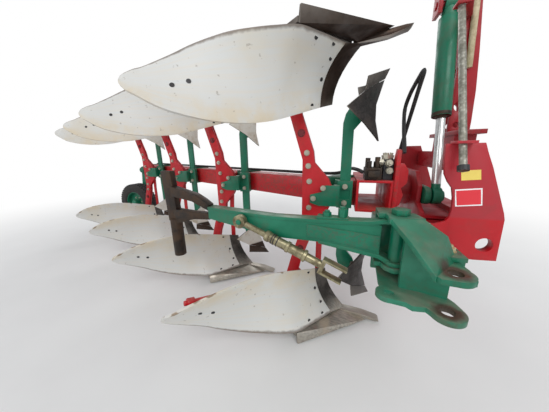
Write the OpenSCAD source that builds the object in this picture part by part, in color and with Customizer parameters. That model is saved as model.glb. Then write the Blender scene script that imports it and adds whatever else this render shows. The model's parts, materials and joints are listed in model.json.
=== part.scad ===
// Mounted reversible plough with four pairs of bodies, a press arm and a depth wheel.
// +X is the direction of travel, +Y is to the left, +Z is up. Z = 0 is the ground under the lower points.
// Sizes below are laid out from the point where the main beam's centreline passes the first leg.
// The whole plough is then moved so that its origin is the middle of its footprint.

/* [Layout] */
// Height of the main beam and of the turnover axis above the share plane
axis_z = 850; // [780:5:900]
// Step from one body to the next along the direction of travel
step_x = 861; // [820:1:900]
// Step from one body to the next across the direction of travel
step_y = 401; // [370:1:420]

/* [Main beam] */
// Side of the square main beam
beam_side = 160; // [140:5:170]
// Wall thickness of the main beam
beam_wall = 10; // [6:1:14]
// Rear face of the cross box that the beam runs into
box_x0 = 330; // [325:5:340]
// Length of the beam behind the wheel arm's pivot
beam_behind = -131; // [-140:1:-100]

/* [Legs] */
// Middle plane of the two plates of a leg
leg_y = -322; // [-330:1:-318]
// Thickness of one leg plate
leg_plate = 16; // [12:1:18]
// Gap between the two plates of a leg
leg_gap = 12; // [8:1:16]

/* [Mouldboards] */
// Thickness of a mouldboard
board_t = 14; // [10:1:16]
// Straight steps across each section of a mouldboard
board_steps = 7; // [4:1:10]

/* [Turnover] */
// Diameter of the turnover shaft
shaft_d = 120; // [100:5:130]
// Clearance between the turnover shaft and its bearing, on the diameter
shaft_fit = 1; // [0.6:0.1:2]
// Distance from the turnover axis to the crank pin
crank_r = 230; // [200:5:240]
// Height of the cylinder's upper pin above the turnover axis
cyl_h = 1050; // [1000:5:1100]
// Position of the cylinder along the direction of travel
cyl_x = 770; // [765:1:775]
// Diameter of the cylinder barrel
barrel_d = 94; // [90:1:100]
// Diameter of the cylinder rod
rod_d = 46; // [40:1:50]

/* [Headstock] */
// Rear face of the headstock
head_x0 = 675; // [670:1:680]
// Front edge of the headstock cheeks
head_x1 = 994; // [985:1:1000]
// Half width over the headstock cheeks
head_half = 445; // [430:5:450]
// Diameter of the cross shaft bores in the cheeks
cross_bore_d = 72; // [60:1:80]
// Diameter of the lower top link bore in the mast
top_bore_d = 32; // [25:1:34]
// Diameter of the upper top link bore in the mast
high_bore_d = 60; // [40:1:62]
// Half distance between the outer faces of the two mast plates
mast_half = 60; // [50:5:70]

/* [Press arm] */
// Position of the arm's upright pivot along the direction of travel
arm_px = 502; // [495:1:505]
// Position of the arm's upright pivot across the direction of travel
arm_py = -640; // [-660:5:-620]
// Length of the arm from its pivot to the catch
arm_len = 1385; // [1340:5:1420]
// Diameter of the press eyes
eye_bore_d = 50; // [40:1:52]

/* [Wheel] */
// Diameter of the depth wheel's tyre
tyre_d = 610; // [560:10:620]
// Width of the tyre
tyre_w = 190; // [150:10:200]
// Position of the wheel's axle along the direction of travel
wheel_x = -3050; // [-3080:5:-3030]
// Position of the middle of the wheel across the direction of travel
wheel_y = 1095; // [1090:5:1100]
// Height of the wheel's axle
wheel_z = 325; // [320:5:345]

/* [Hidden] */
$fn = 48;
beam_angle = atan(step_y / step_x);
beam_pitch = sqrt(step_x * step_x + step_y * step_y);
half_side = beam_side / 2;
pivot_x = wheel_x + 75;
beam_rear = -pivot_x / cos(beam_angle) + beam_behind;
hub_y0 = wheel_y + 112;
hub_y1 = wheel_y + 172;
axle_d = 45;
rim_r = 170;
cheek_t = 18;
fork_z0 = 573;
fork_z1 = 815;
pivot_d = 50;
eye_x = 644;
eye_y = -852;
eye_z = [511, 670];
arm_slant = 6;
arm_end = 1050;
weld_gap = 0.2;
leg_near = leg_y - leg_gap / 2 - leg_plate;
leg_far = leg_y + leg_gap / 2 + leg_plate;
bore_x = 932;
bore_z = 651;
link_x = 877;
rear_x = 838;
link_z = [1251, 1355];
tube_d = 30;
beta0 = atan(crank_r / cyl_h);
cyl_len = sqrt(crank_r * crank_r + cyl_h * cyl_h);
green = [0.05, 0.42, 0.3];
red = [0.75, 0.09, 0.12];
cream = [0.9, 0.89, 0.84];
steel = [0.42, 0.36, 0.31];
dark = [0.16, 0.15, 0.15];
zinc = [0.72, 0.66, 0.45];

// Sections of a mouldboard from the shin to the tail.
// Columns: top point, bottom point, depth of the hollow between them.
board_rows = [
    [[106, -355, 348], [226, -410, 72], 44],
    [[52, -432, 374], [170, -475, 66], 46],
    [[-15, -521, 405], [104, -552, 63], 47],
    [[-75, -603, 432], [37, -629, 64], 46],
    [[-135, -683, 450], [-60, -678, 74], 42],
    [[-190, -754, 457], [-150, -710, 83], 36],
    [[-245, -822, 457], [-230, -740, 96], 30],
    [[-302, -886, 449], [-302, -777, 122], 24],
    [[-362, -941, 433], [-372, -820, 157], 18],
    [[-428, -984, 407], [-440, -864, 199], 12],
    [[-505, -1005, 364], [-508, -934, 253], 6],
    [[-538, -1007, 349], [-540, -953, 265], 4],
    [[-555, -1005, 336], [-557, -967, 276], 3],
    [[-567, -1003, 327], [-568, -976, 284], 2],
    [[-574, -999, 317], [-574, -985, 293], 1],
    [[-577, -995, 308], [-577, -991, 302], 0]
];
board_last = len(board_rows) - 1;

function mix(a, b, t) = a + (b - a) * t;
function unit(v) = v / norm(v);

// Backward normal of a mouldboard section
function board_normal(i) =
    let (a = board_rows[max(i - 1, 0)], b = board_rows[min(i + 1, board_last)])
    let (along = mix(b[0], b[1], 0.5) - mix(a[0], a[1], 0.5))
    unit(cross(along, board_rows[i][0] - board_rows[i][1]));

// Point on the working face of a mouldboard, t from 0 at the bottom to 1 at the top
function board_point(i, t) =
    let (r = board_rows[i])
    mix(r[1], r[0], t) + 4 * t * (1 - t) * r[2] * board_normal(i);

// Lowest Y that a mouldboard reaches
board_y_min = min([for (i = [0:board_last]) for (j = [0:board_steps]) board_point(i, j / board_steps)[1]]);
// Highest Y that the beam's rear end reaches
beam_y_max = beam_rear * sin(beam_angle) + half_side * cos(beam_angle);
// Middle of the footprint in the layout
mid_x = (head_x1 + wheel_x - tyre_d / 2) / 2;
mid_y = (board_y_min + beam_y_max) / 2;

// Moves what is drawn from the layout to the part's own frame
module placed() {
    translate([-mid_x, -mid_y, 0])
        children();
}

// Places what is drawn for the first body at body k, counted from 1
module at_body(k) {
    translate([-(k - 1) * step_x, (k - 1) * step_y, 0])
        children();
}

// Mirrors a lower piece about the plane of the beam
module upside() {
    translate([0, 0, 2 * axis_z])
        mirror([0, 0, 1])
            children();
}

// Draws a lower piece and its mirrored upper piece
module both_ways() {
    children();
    upside()
        children();
}

// Plate with an outline in X and Z, from y0 towards +Y
module plate_xz(outline, y0, t) {
    translate([0, y0 + t, 0])
        rotate([90, 0, 0])
            linear_extrude(t)
                polygon(outline);
}

// Plate with an outline in Y and Z, from x0 towards +X
module plate_yz(outline, x0, t) {
    translate([x0, 0, 0])
        rotate([90, 0, 90])
            linear_extrude(t)
                polygon(outline);
}

module rod_x(x0, x1, y, z, d) {
    translate([x0, y, z])
        rotate([0, 90, 0])
            cylinder(h = x1 - x0, d = d);
}

module rod_y(y0, y1, x, z, d) {
    translate([x, y0, z])
        rotate([-90, 0, 0])
            cylinder(h = y1 - y0, d = d);
}

// Solid between two grids of points with the same number of rows and columns
module skin_pair(face, back) {
    rows = len(face);
    cols = len(face[0]);
    n = rows * cols;
    points = concat([for (r = face) for (p = r) p], [for (r = back) for (p = r) p]);
    function at(i, j) = i * cols + j;
    faces = concat(
        [for (i = [0:rows - 2]) for (j = [0:cols - 2]) [at(i, j), at(i, j + 1), at(i + 1, j + 1)]],
        [for (i = [0:rows - 2]) for (j = [0:cols - 2]) [at(i, j), at(i + 1, j + 1), at(i + 1, j)]],
        [for (i = [0:rows - 2]) for (j = [0:cols - 2]) [n + at(i, j), n + at(i + 1, j + 1), n + at(i, j + 1)]],
        [for (i = [0:rows - 2]) for (j = [0:cols - 2]) [n + at(i, j), n + at(i + 1, j), n + at(i + 1, j + 1)]],
        [for (i = [0:rows - 2]) [at(i, 0), at(i + 1, 0), n + at(i + 1, 0)]],
        [for (i = [0:rows - 2]) [at(i, 0), n + at(i + 1, 0), n + at(i, 0)]],
        [for (i = [0:rows - 2]) [at(i, cols - 1), n + at(i + 1, cols - 1), at(i + 1, cols - 1)]],
        [for (i = [0:rows - 2]) [at(i, cols - 1), n + at(i, cols - 1), n + at(i + 1, cols - 1)]],
        [for (j = [0:cols - 2]) [at(0, j), n + at(0, j + 1), at(0, j + 1)]],
        [for (j = [0:cols - 2]) [at(0, j), n + at(0, j), n + at(0, j + 1)]],
        [for (j = [0:cols - 2]) [at(rows - 1, j), at(rows - 1, j + 1), n + at(rows - 1, j + 1)]],
        [for (j = [0:cols - 2]) [at(rows - 1, j), n + at(rows - 1, j + 1), n + at(rows - 1, j)]]
    );
    polyhedron(points = points, faces = [for (f = faces) [f[2], f[1], f[0]]], convexity = 4);
}

module mouldboard() {
    face = [for (i = [0:board_last]) [for (j = [0:board_steps]) board_point(i, j / board_steps)]];
    back = [for (i = [0:board_last])
        [for (j = [0:board_steps]) board_point(i, j / board_steps) + board_t * board_normal(i)]];
    color(cream)
        skin_pair(face, back);
}

module mouldboard_lower(k) {
    at_body(k)
        mouldboard();
}

module mouldboard_upper(k) {
    at_body(k)
        upside()
            mouldboard();
}

// Share blade, reversible point bar and shin
module share() {
    lip = 2;
    edge_heel = [48, -649, 2];
    edge_nose = [448, -336, 2];
    seat_heel = [38, -631, 61];
    seat_nose = [300, -302, 46];
    under = [-9, 8, -9];
    color(steel) {
        skin_pair(
            [[edge_nose, seat_nose], [edge_heel, seat_heel]],
            [[edge_nose + [-9, 8, -1], seat_nose + under], [edge_heel + [-9, 8, -1], seat_heel + under]]
        );
        point_bar();
    }
    color(dark) {
        shin(lip);
        landside();
        frog();
    }
}

module point_bar() {
    bar_w = 56;
    outline = [[262, 26], [262, 50], [430, 34], [520, 12], [532, 0], [500, 0]];
    plate_xz(outline, -302 - bar_w / 2, bar_w);
}

// Shin strip along the front edge of the mouldboard
module shin(lip) {
    foot = [313, -288, 38];
    head = [168, -294, 327];
    thick = 13;
    forward = unit(board_rows[0][1] - board_rows[1][1]);
    inner = [for (j = [0:board_steps]) board_point(0, j / board_steps) + lip * forward];
    outer = [for (j = [0:board_steps]) mix(foot, head, j / board_steps)
        + [-34 * 4 * (j / board_steps) * (1 - j / board_steps), 0, 0]];
    back = [for (j = [0:board_steps]) board_normal(0) * thick];
    skin_pair(
        [outer, inner],
        [[for (j = [0:board_steps]) outer[j] + [-thick, 2, 0]], [for (j = [0:board_steps]) inner[j] + back[j]]]
    );
}

module share_lower(k) {
    at_body(k)
        share();
}

module share_upper(k) {
    at_body(k)
        upside()
            share();
}

// Wedge that carries a leg on the near side of the beam
module leg_saddle() {
    x_rear = 14;
    x_front = 134;
    face_rear = -half_side / cos(beam_angle) - x_rear * tan(beam_angle) - weld_gap;
    face_front = -half_side / cos(beam_angle) - x_front * tan(beam_angle) - weld_gap;
    saddle_h = 150;
    translate([0, 0, axis_z - saddle_h / 2])
        linear_extrude(saddle_h)
            polygon([[x_rear, leg_far - 1], [x_rear, face_rear], [x_front, face_front], [x_front, leg_far - 1]]);
}

// The two plates of a leg, joined by spacers and a saddle
module leg() {
    // Columns: X, height below the beam's centreline
    half = [[8, 0], [8, -215], [-69, -467], [-104, -600], [-110, -790], [72, -790], [80, -640],
        [-14, -545], [0, -482], [74, -264], [82, -197], [167, -101], [186, -60], [186, 0]];
    outline = concat(
        [for (p = half) [p[0], axis_z + p[1]]],
        [for (i = [len(half) - 2:-1:1]) [half[i][0], axis_z - half[i][1]]]
    );
    color(red) {
        plate_xz(outline, leg_near, leg_plate);
        plate_xz(outline, leg_y + leg_gap / 2, leg_plate);
        leg_saddle();
        both_ways()
            translate([-60, leg_near + 1, axis_z - 700])
                cube([90, leg_far - leg_near - 2, 60]);
    }
}

module landside() {
    landside_t = 14;
    plate_xz([[-250, 14], [175, 14], [190, 40], [170, 170], [-92, 170], [-250, 120]],
        leg_far + weld_gap, landside_t);
}

// Seat behind the mouldboard and the share
module frog() {
    near = leg_near - weld_gap;
    far = leg_far + weld_gap;
    seat_t = 14;
    seat_a = [98, near + 1];
    seat_b = [-85, -579];
    back = [-10, 8];
    // Sole under the leg, from the share to the landside
    translate([0, 0, 28])
        linear_extrude(22)
            polygon([[28, -622], [255, -338], [255, far + 8], [-92, far + 8], [-92, near - 8], [-50, -560]]);
    translate([0, 0, 85])
        linear_extrude(205)
            polygon([seat_a, seat_a + back, seat_b + back, seat_b]);
    for (z = [85, 200])
        translate([0, 0, z])
            linear_extrude(seat_t)
                polygon([[83, near], [-92, near], [-92, near - 60], seat_b + back / 2, seat_a + [-20, -30]]);
    translate([-20, near - 60, 45])
        cube([14, 60, 45]);
}

// Stay from the flare of a leg down to the frog of its lower body
module leg_stay() {
    stay_t = 12;
    outline = [[112, 745], [150, 735], [140, 600], [136, 300], [98, 300], [101, 600]];
    color(red)
        plate_xz(outline, leg_far - 1, stay_t + 1);
}

// Rod from a leg's foot to the wing of its mouldboard, with a nut at its end
module board_stay() {
    rod_t = 26;
    nut_t = 46;
    foot = [-60, -335, 236];
    tail = [-500, -912, 367];
    lug = [-444.8, -914.2, 338.8];
    color(red) {
        bar(foot, tail, rod_t);
        bar(mix(tail, foot, 0.02), mix(tail, foot, 0.07), nut_t);
        bar(mix(tail, foot, 0.09), lug, 14);
    }
}

module leg_at(k) {
    at_body(k) {
        leg();
        leg_stay();
        both_ways()
            board_stay();
    }
}

// Clamp on the beam and the stem that carries the two skimmers
module skim_stem() {
    stem_x = 234;
    stem_w = 62;
    stem_t = 26;
    stem_y = -262;
    reach = 400;
    plate_t = 20;
    clamp_h = 170;
    clamp_u = 196;
    clamp_l = 118;
    slope = -tan(beam_angle);
    face = -(half_side + plate_t) / cos(beam_angle);
    arm_x0 = 150;
    // Columns: X, height above the lower end of the straight stem
    foot = [[0, 20], [0, -20], [12, -70], [66, -150], [116, -225], [158, -225], [158, -205],
        [138, -120], [104, -30], [stem_w, 20]];
    color(green) {
        rotate([0, 0, -beam_angle])
            translate([clamp_u, -half_side - plate_t, axis_z - clamp_h / 2])
                cube([clamp_l, plate_t - weld_gap, clamp_h]);
        rotate([0, 0, -beam_angle])
            translate([clamp_u, half_side + weld_gap, axis_z - clamp_h / 2])
                cube([clamp_l, plate_t, clamp_h]);
        for (side = [-1, 1])
            rotate([0, 0, -beam_angle])
                translate([clamp_u, -half_side - plate_t, axis_z + side * (half_side + 8 + weld_gap) - 8])
                    cube([clamp_l, beam_side + 2 * plate_t, 16]);
        translate([0, 0, axis_z - clamp_h / 2])
            linear_extrude(clamp_h)
                polygon([[stem_x - 30, stem_y - 1], [stem_x - 30, face + (stem_x - 30) * slope + 2],
                    [stem_x + stem_w, face + (stem_x + stem_w) * slope + 2], [stem_x + stem_w, stem_y - 1]]);
        translate([stem_x, stem_y - stem_t, axis_z - reach])
            cube([stem_w, stem_t, 2 * reach]);
        both_ways()
            plate_xz([for (p = foot) [stem_x + p[0], axis_z - reach + p[1]]], stem_y - stem_t, stem_t);
        // Socket round the stem with the long lug that bolts to the leg
        difference() {
            translate([stem_x - 14, stem_y - stem_t - 14, axis_z - clamp_h / 2])
                cube([stem_w + 28, stem_t + 14, clamp_h]);
            translate([stem_x + 0.5, stem_y - stem_t - 30, axis_z - 30])
                cube([stem_w - 1, 22, 60]);
        }
        plate_xz([[stem_x, axis_z + 62], [150, axis_z + 62], [128, axis_z + 20], [60, axis_z + 2],
            [60, axis_z - 48], [112, axis_z - 66], [stem_x, axis_z - 66]], leg_near - 12, 11.5);
        translate([200, leg_near - 12, axis_z - 66])
            cube([34, stem_y - stem_t - leg_near + 13, 128]);
    }
}

module skim_stem_at(k) {
    at_body(k)
        skim_stem();
}

// Small plough body that cuts ahead of the main one
module skim_blade() {
    back = [-7, 6, 1];
    // Inner edge, hollow and outer edge, each from the share upwards
    rows = [
        [[436, -268, 219], [402, -300, 345], [404, -314, 430], [429, -320, 537]],
        [[388, -331, 250], [335, -392, 350], [376, -352, 436], [423, -327, 532]],
        [[335, -407, 291], [252, -490, 371], [343, -395, 446], [417, -336, 524]]
    ];
    tip = [463, -240, 156];
    wing = [342, -430, 232];
    seam = [1.5, -1, -4];
    lap = 0.7;
    seam_in = rows[0][0] + seam;
    seam_out = rows[2][0] + seam;
    frog_t = 13.8;
    color(cream)
        skin_pair(rows, [for (r = rows) [for (p = r) p + back]]);
    color(steel) {
        skin_pair(
            [[tip, seam_in], [wing, seam_out]],
            [[tip + back * lap, seam_in + back], [wing + back * lap, seam_out + back]]
        );
        plate_xz([[300, 250], [406, 236], [398, 322], [366, 400], [330, 400]], -302, frog_t);
    }
}

module skim_blades_at(k) {
    at_body(k)
        both_ways()
            skim_blade();
}

// Square tube that runs aslant from the cross box to the last leg
module main_beam() {
    color(red)
        difference() {
            rotate([0, 0, -beam_angle])
                translate([-beam_rear, -half_side, axis_z - half_side])
                    difference() {
                        cube([beam_rear + 600, beam_side, beam_side]);
                        translate([-1, beam_wall, beam_wall])
                            cube([beam_rear + 700, beam_side - 2 * beam_wall, beam_side - 2 * beam_wall]);
                    }
            translate([box_x0, -600, axis_z - beam_side])
                cube([400, 800, 2 * beam_side]);
        }
}

// Cross box, open at both ends, that joins the beam to the turnover shaft
module front_frame() {
    box_x1 = 525;
    box_h = 190;
    wall = 14;
    y_near = -335;
    y_far = 190;
    face_t = 20;
    color(red) {
        difference() {
            translate([box_x0, y_near, axis_z - box_h / 2])
                cube([box_x1 - box_x0, y_far - y_near, box_h]);
            translate([box_x0 + wall, y_near - 1, axis_z - box_h / 2 + wall])
                cube([box_x1 - box_x0 - 2 * wall, y_far - y_near + 2, box_h - 2 * wall]);
        }
        plate_yz([[-345, 722], [-345, 1112], [-300, 1120], [-235, 1010], [-120, 960], [190, 960], [190, 740],
            [-120, 740]], box_x1, face_t);
        // Hooked stop on the near side of the upright plate
        plate_xz([[540, 1040], [575, 1040], [600, 1000], [600, 930], [572, 900], [586, 860], [574, 800],
            [540, 770]], -300, 20);
    }
}

// Turnover shaft with its rear hub and its crank
module turnover_shaft() {
    hub_x0 = 545;
    hub_x1 = 588;
    crank_x0 = 706;
    crank_t = 30;
    eye_d = 100;
    color(green) {
        rod_x(hub_x0 + weld_gap, hub_x1, 0, axis_z, 240);
        rod_x(hub_x0 + 1, crank_x0 + crank_t, 0, axis_z, shaft_d);
        rod_x(crank_x0, crank_x0 + crank_t, 0, axis_z, 170);
        rod_x(crank_x0, crank_x0 + crank_t, -crank_r, axis_z, eye_d);
        translate([crank_x0, -crank_r, axis_z - eye_d / 2])
            cube([crank_t, crank_r, eye_d]);
    }
}

// Rear plate with the turnover bearing, lower box, two cheeks and two cross tubes
module headstock_frame() {
    plate_t = 22;
    bearing_x0 = 594;
    cross_x0 = 845;
    cross_w = 90;
    inner = head_half - cheek_t;
    color(red) {
        difference() {
            union() {
                plate_yz([[-330, 672], [-330, 770], [-235, 812], [-235, 905], [-150, 985], [150, 985],
                    [235, 905], [235, 812], [330, 770], [330, 672]], head_x0, plate_t);
                rod_x(bearing_x0, head_x0 + 1, 0, axis_z, 210);
            }
            rod_x(bearing_x0 - 1, head_x0 + plate_t + 1, 0, axis_z, shaft_d + shaft_fit);
        }
        for (z = [712, 738])
            translate([head_x0 + plate_t - 1, -330, z])
                cube([cross_x0 - head_x0 - plate_t + 2, 660, 18]);
        for (side = [-1, 1])
            cheek(side);
        translate([cross_x0, -inner - 1, 708])
            cube([cross_w, 2 * inner + 2, cross_w - 8]);
        translate([cross_x0, -inner - 1, 985])
            cube([34, 2 * inner + 2, 112]);
        translate([cross_x0, -150, 1090])
            cube([105, 300, 101]);
        translate([cross_x0 - 9, -215, 1190])
            cube([126, 430, 24]);
        // Foot plate that holds the upright tube on the near cheek
        translate([0, 0, 1138])
            linear_extrude(12)
                difference() {
                    polygon([[722, -head_half - 55], [800, -head_half - 55], [806, -head_half + 15],
                        [722, -head_half + 15]]);
                    translate([tube_at(1144)[0], tube_at(1144)[1]])
                        circle(d = tube_d + 10);
                }
    }
}

// Cheek plate with the hub of the cross shaft bore; side is -1 on the near side
module cheek(side) {
    hub_w = 26;
    outline = [[702, 1139], [853, 1140], [869, 1098], [899, 1030], [918, 979], [head_x1 - 15, 816],
        [head_x1 - 7, 786], [head_x1, 573], [900, 568], [760, 572], [696, 640], [696, 742], [718, 745],
        [752, 760], [767, 785], [772, 822], [768, 882], [757, 931], [735, 960], [716, 998], [706, 1064]];
    difference() {
        union() {
            plate_xz(outline, side > 0 ? head_half - cheek_t : -head_half, cheek_t);
            rod_y(side > 0 ? head_half - cheek_t - hub_w : -head_half + 1,
                side > 0 ? head_half - 1 : -head_half + cheek_t + hub_w, bore_x, bore_z, 116);
        }
        rod_y(-head_half - 40, head_half + 40, bore_x, bore_z, cross_bore_d);
    }
}

// Mast of two plates with the top link bores and the head that carries the cylinder
module mast() {
    plate_t = 18;
    foot_z = 1214 + weld_gap;
    pin_z = axis_z + cyl_h;
    outline = [[rear_x, foot_z], [950, foot_z], [950, 1270], [944, 1434], [926, 1634], [900, 1865],
        [884, pin_z + 80], [rear_x, pin_z + 80]];
    color(red) {
        for (side = [-1, 1])
            difference() {
                plate_xz(outline, side > 0 ? mast_half - plate_t : -mast_half, plate_t);
                rod_y(-mast_half - 1, mast_half + 1, link_x, link_z[0], top_bore_d);
                rod_y(-mast_half - 1, mast_half + 1, link_x + 4, link_z[1], high_bore_d);
            }
        translate([845, -mast_half + plate_t - 1, 1560])
            cube([16, 2 * (mast_half - plate_t) + 2, pin_z + 80 - 1560]);
    }
}

// Head of the mast with the cylinder's upper pin, and the arm that holds the upright tube
module mast_head() {
    pin_z = axis_z + cyl_h;
    foot_z = pin_z - 50;
    head_z = pin_z + 95;
    front_x = rear_x - weld_gap;
    arm_y = -mast_half - weld_gap;
    color(red) {
        plate_yz([[-60, foot_z], [-60, head_z], [60, head_z], [60, foot_z]], 815, front_x - 815);
        plate_yz([[-45, foot_z], [-45, head_z], [45, head_z], [45, foot_z]], 705, 20);
        translate([705, -45, pin_z + 72])
            cube([130, 90, 23]);
        rod_x(698, 830, 0, pin_z, 40);
        translate([0, 0, 1790])
            linear_extrude(12)
                difference() {
                    polygon([[827, arm_y], [849, arm_y], [849, -100], [792, -238], [728, -238], [728, -180],
                        [775, -180], [827, -104]]);
                    translate([tube_at(1796)[0], tube_at(1796)[1]])
                        circle(d = tube_d + 10);
                }
    }
}

// Points of the upright tube's centreline
tube_foot = [754, -head_half - 75, 1020];
tube_top = [757, -200, 1809];
function tube_at(z) = mix(tube_foot, tube_top, (z - tube_foot[2]) / (tube_top[2] - tube_foot[2]));

// Straight round bar between two points
module bar(a, b, d) {
    v = b - a;
    translate(a)
        rotate([0, acos(v[2] / norm(v)), atan2(v[1], v[0])])
            cylinder(h = norm(v), d = d);
}

// Galvanised upright tube with a black ring at its foot
module mast_tube() {
    color(zinc)
        difference() {
            union() {
                bar(tube_foot, tube_top, tube_d);
                bar(tube_foot, mix(tube_foot, tube_top, 0.03), tube_d + 14);
            }
            bar(mix(tube_foot, tube_top, -0.01), mix(tube_foot, tube_top, 1.01), tube_d - 8);
        }
}

// Pale round lath clipped to the near mast plate
module mast_lath() {
    lath_d = 30;
    lath_y = -mast_half - 0.3 - lath_d / 2;
    foot = [884, lath_y, 1548];
    top = [866, lath_y, 1868];
    color(cream)
        bar(foot, top, lath_d);
}

// Block of valves on the cross box with its fittings
module hydraulic_valve() {
    block = [90, 120, 70];
    place = [372, -318, axis_z + 95 + weld_gap];
    color(dark) {
        translate(place)
            cube(block);
        translate(place + [15, -30, 20])
            cube([60, 40, 34]);
        // Columns: X and Y on the block, height of the fitting
        for (f = [[20, 20, 40], [20, 60, 30], [20, 100, 55], [65, 30, 62], [65, 80, 35]])
            translate(place + [f[0], f[1], block[2] - 1])
                cylinder(h = f[2], d = 30, $fn = 6);
    }
}

// Round hose along a route of points, closed at both ends
module hose(route, d, sides) {
    last = len(route) - 1;
    function along(i) = unit(route[min(i + 1, last)] - route[max(i - 1, 0)]);
    function side_of(i) = unit(cross(along(i), [0.31, 0.17, 0.93]));
    function lift_of(i) = cross(side_of(i), along(i));
    points = [for (i = [0:last]) for (k = [0:sides - 1])
        route[i] + d / 2 * (cos(360 * k / sides) * side_of(i) + sin(360 * k / sides) * lift_of(i))];
    wall = [for (i = [0:last - 1]) for (k = [0:sides - 1])
        [i * sides + k, i * sides + (k + 1) % sides, (i + 1) * sides + (k + 1) % sides, (i + 1) * sides + k]];
    ends = [[for (k = [sides - 1:-1:0]) k], [for (k = [0:sides - 1]) last * sides + k]];
    polyhedron(points = points, faces = concat(wall, ends), convexity = 6);
}

// Smooth route through the given points, with steps between each two
function smooth(p, steps) = [for (i = [0:len(p) - 2]) for (j = [0:steps - (i < len(p) - 2 ? 1 : 0)])
    let (t = j / steps)
    let (a = p[max(i - 1, 0)], b = p[i], c = p[i + 1], e = p[min(i + 2, len(p) - 1)])
    0.5 * (2 * b + (c - a) * t + (2 * a - 5 * b + 4 * c - e) * t * t + (3 * b - a - 3 * c + e) * t * t * t)];

// Hose from the valve block along the top of the beam to its rear end
module hose_beam() {
    hose_d = 22;
    top = axis_z + half_side + 18 + hose_d / 2;
    function on_beam(u, v, z) = [u * cos(beam_angle) + v * sin(beam_angle), -u * sin(beam_angle) + v * cos(beam_angle), z];
    color(dark)
        hose(smooth([
            [366, -262, 985], [332, -244, 1000], on_beam(330, -20, top + 40), on_beam(250, -34, top + 8),
            on_beam(60, -34, top), on_beam(-400, -30, top), on_beam(-1000, -34, top), on_beam(-1600, -28, top),
            on_beam(-2200, -34, top), on_beam(-2600, -30, top), on_beam(-2900, -34, top - 4)
        ], 6), hose_d, 8);
}

// Hose that loops up from the valve block and back down behind it
module hose_loop() {
    hose_d = 20;
    color(dark)
        hose(smooth([
            [556, -346, 1098], [557, -318, 1145], [558, -264, 1222], [562, -213, 1331], [568, -262, 1402],
            [576, -350, 1452], [582, -400, 1470], [586, -330, 1400], [584, -220, 1250], [578, -130, 1090],
            [568, -96, 966]
        ], 6), hose_d, 8);
}

// Places what is drawn hanging straight down from the cylinder's upper pin
module along_cylinder() {
    translate([cyl_x, 0, axis_z + cyl_h])
        rotate([-beta0, 0, 0])
            children();
}

module cylinder_barrel() {
    eye_w = 60;
    bore_d = 41;
    barrel_l = 545;
    barrel_z = -620;
    color(green)
        along_cylinder()
            difference() {
                union() {
                    rod_x(-eye_w / 2, eye_w / 2, 0, 0, 90);
                    translate([0, 0, barrel_z])
                        cylinder(h = barrel_l, d = barrel_d);
                    translate([0, 0, barrel_z + barrel_l - 1])
                        cylinder(h = 60, d = 70);
                }
                rod_x(-eye_w, eye_w, 0, 0, bore_d);
                translate([0, 0, barrel_z - 1])
                    cylinder(h = 480, d = rod_d + 1);
            }
}

module cylinder_rod() {
    eye_w = 44;
    color([0.8, 0.82, 0.84])
        along_cylinder() {
            translate([0, 0, -cyl_len + 40])
                cylinder(h = cyl_len - 40 - 400, d = rod_d);
            rod_x(-eye_w / 2, eye_w / 2, 0, -cyl_len, 96);
            rod_x(eye_w / 2 - 1, eye_w / 2 + 14, 0, -cyl_len, 60);
        }
}

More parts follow.
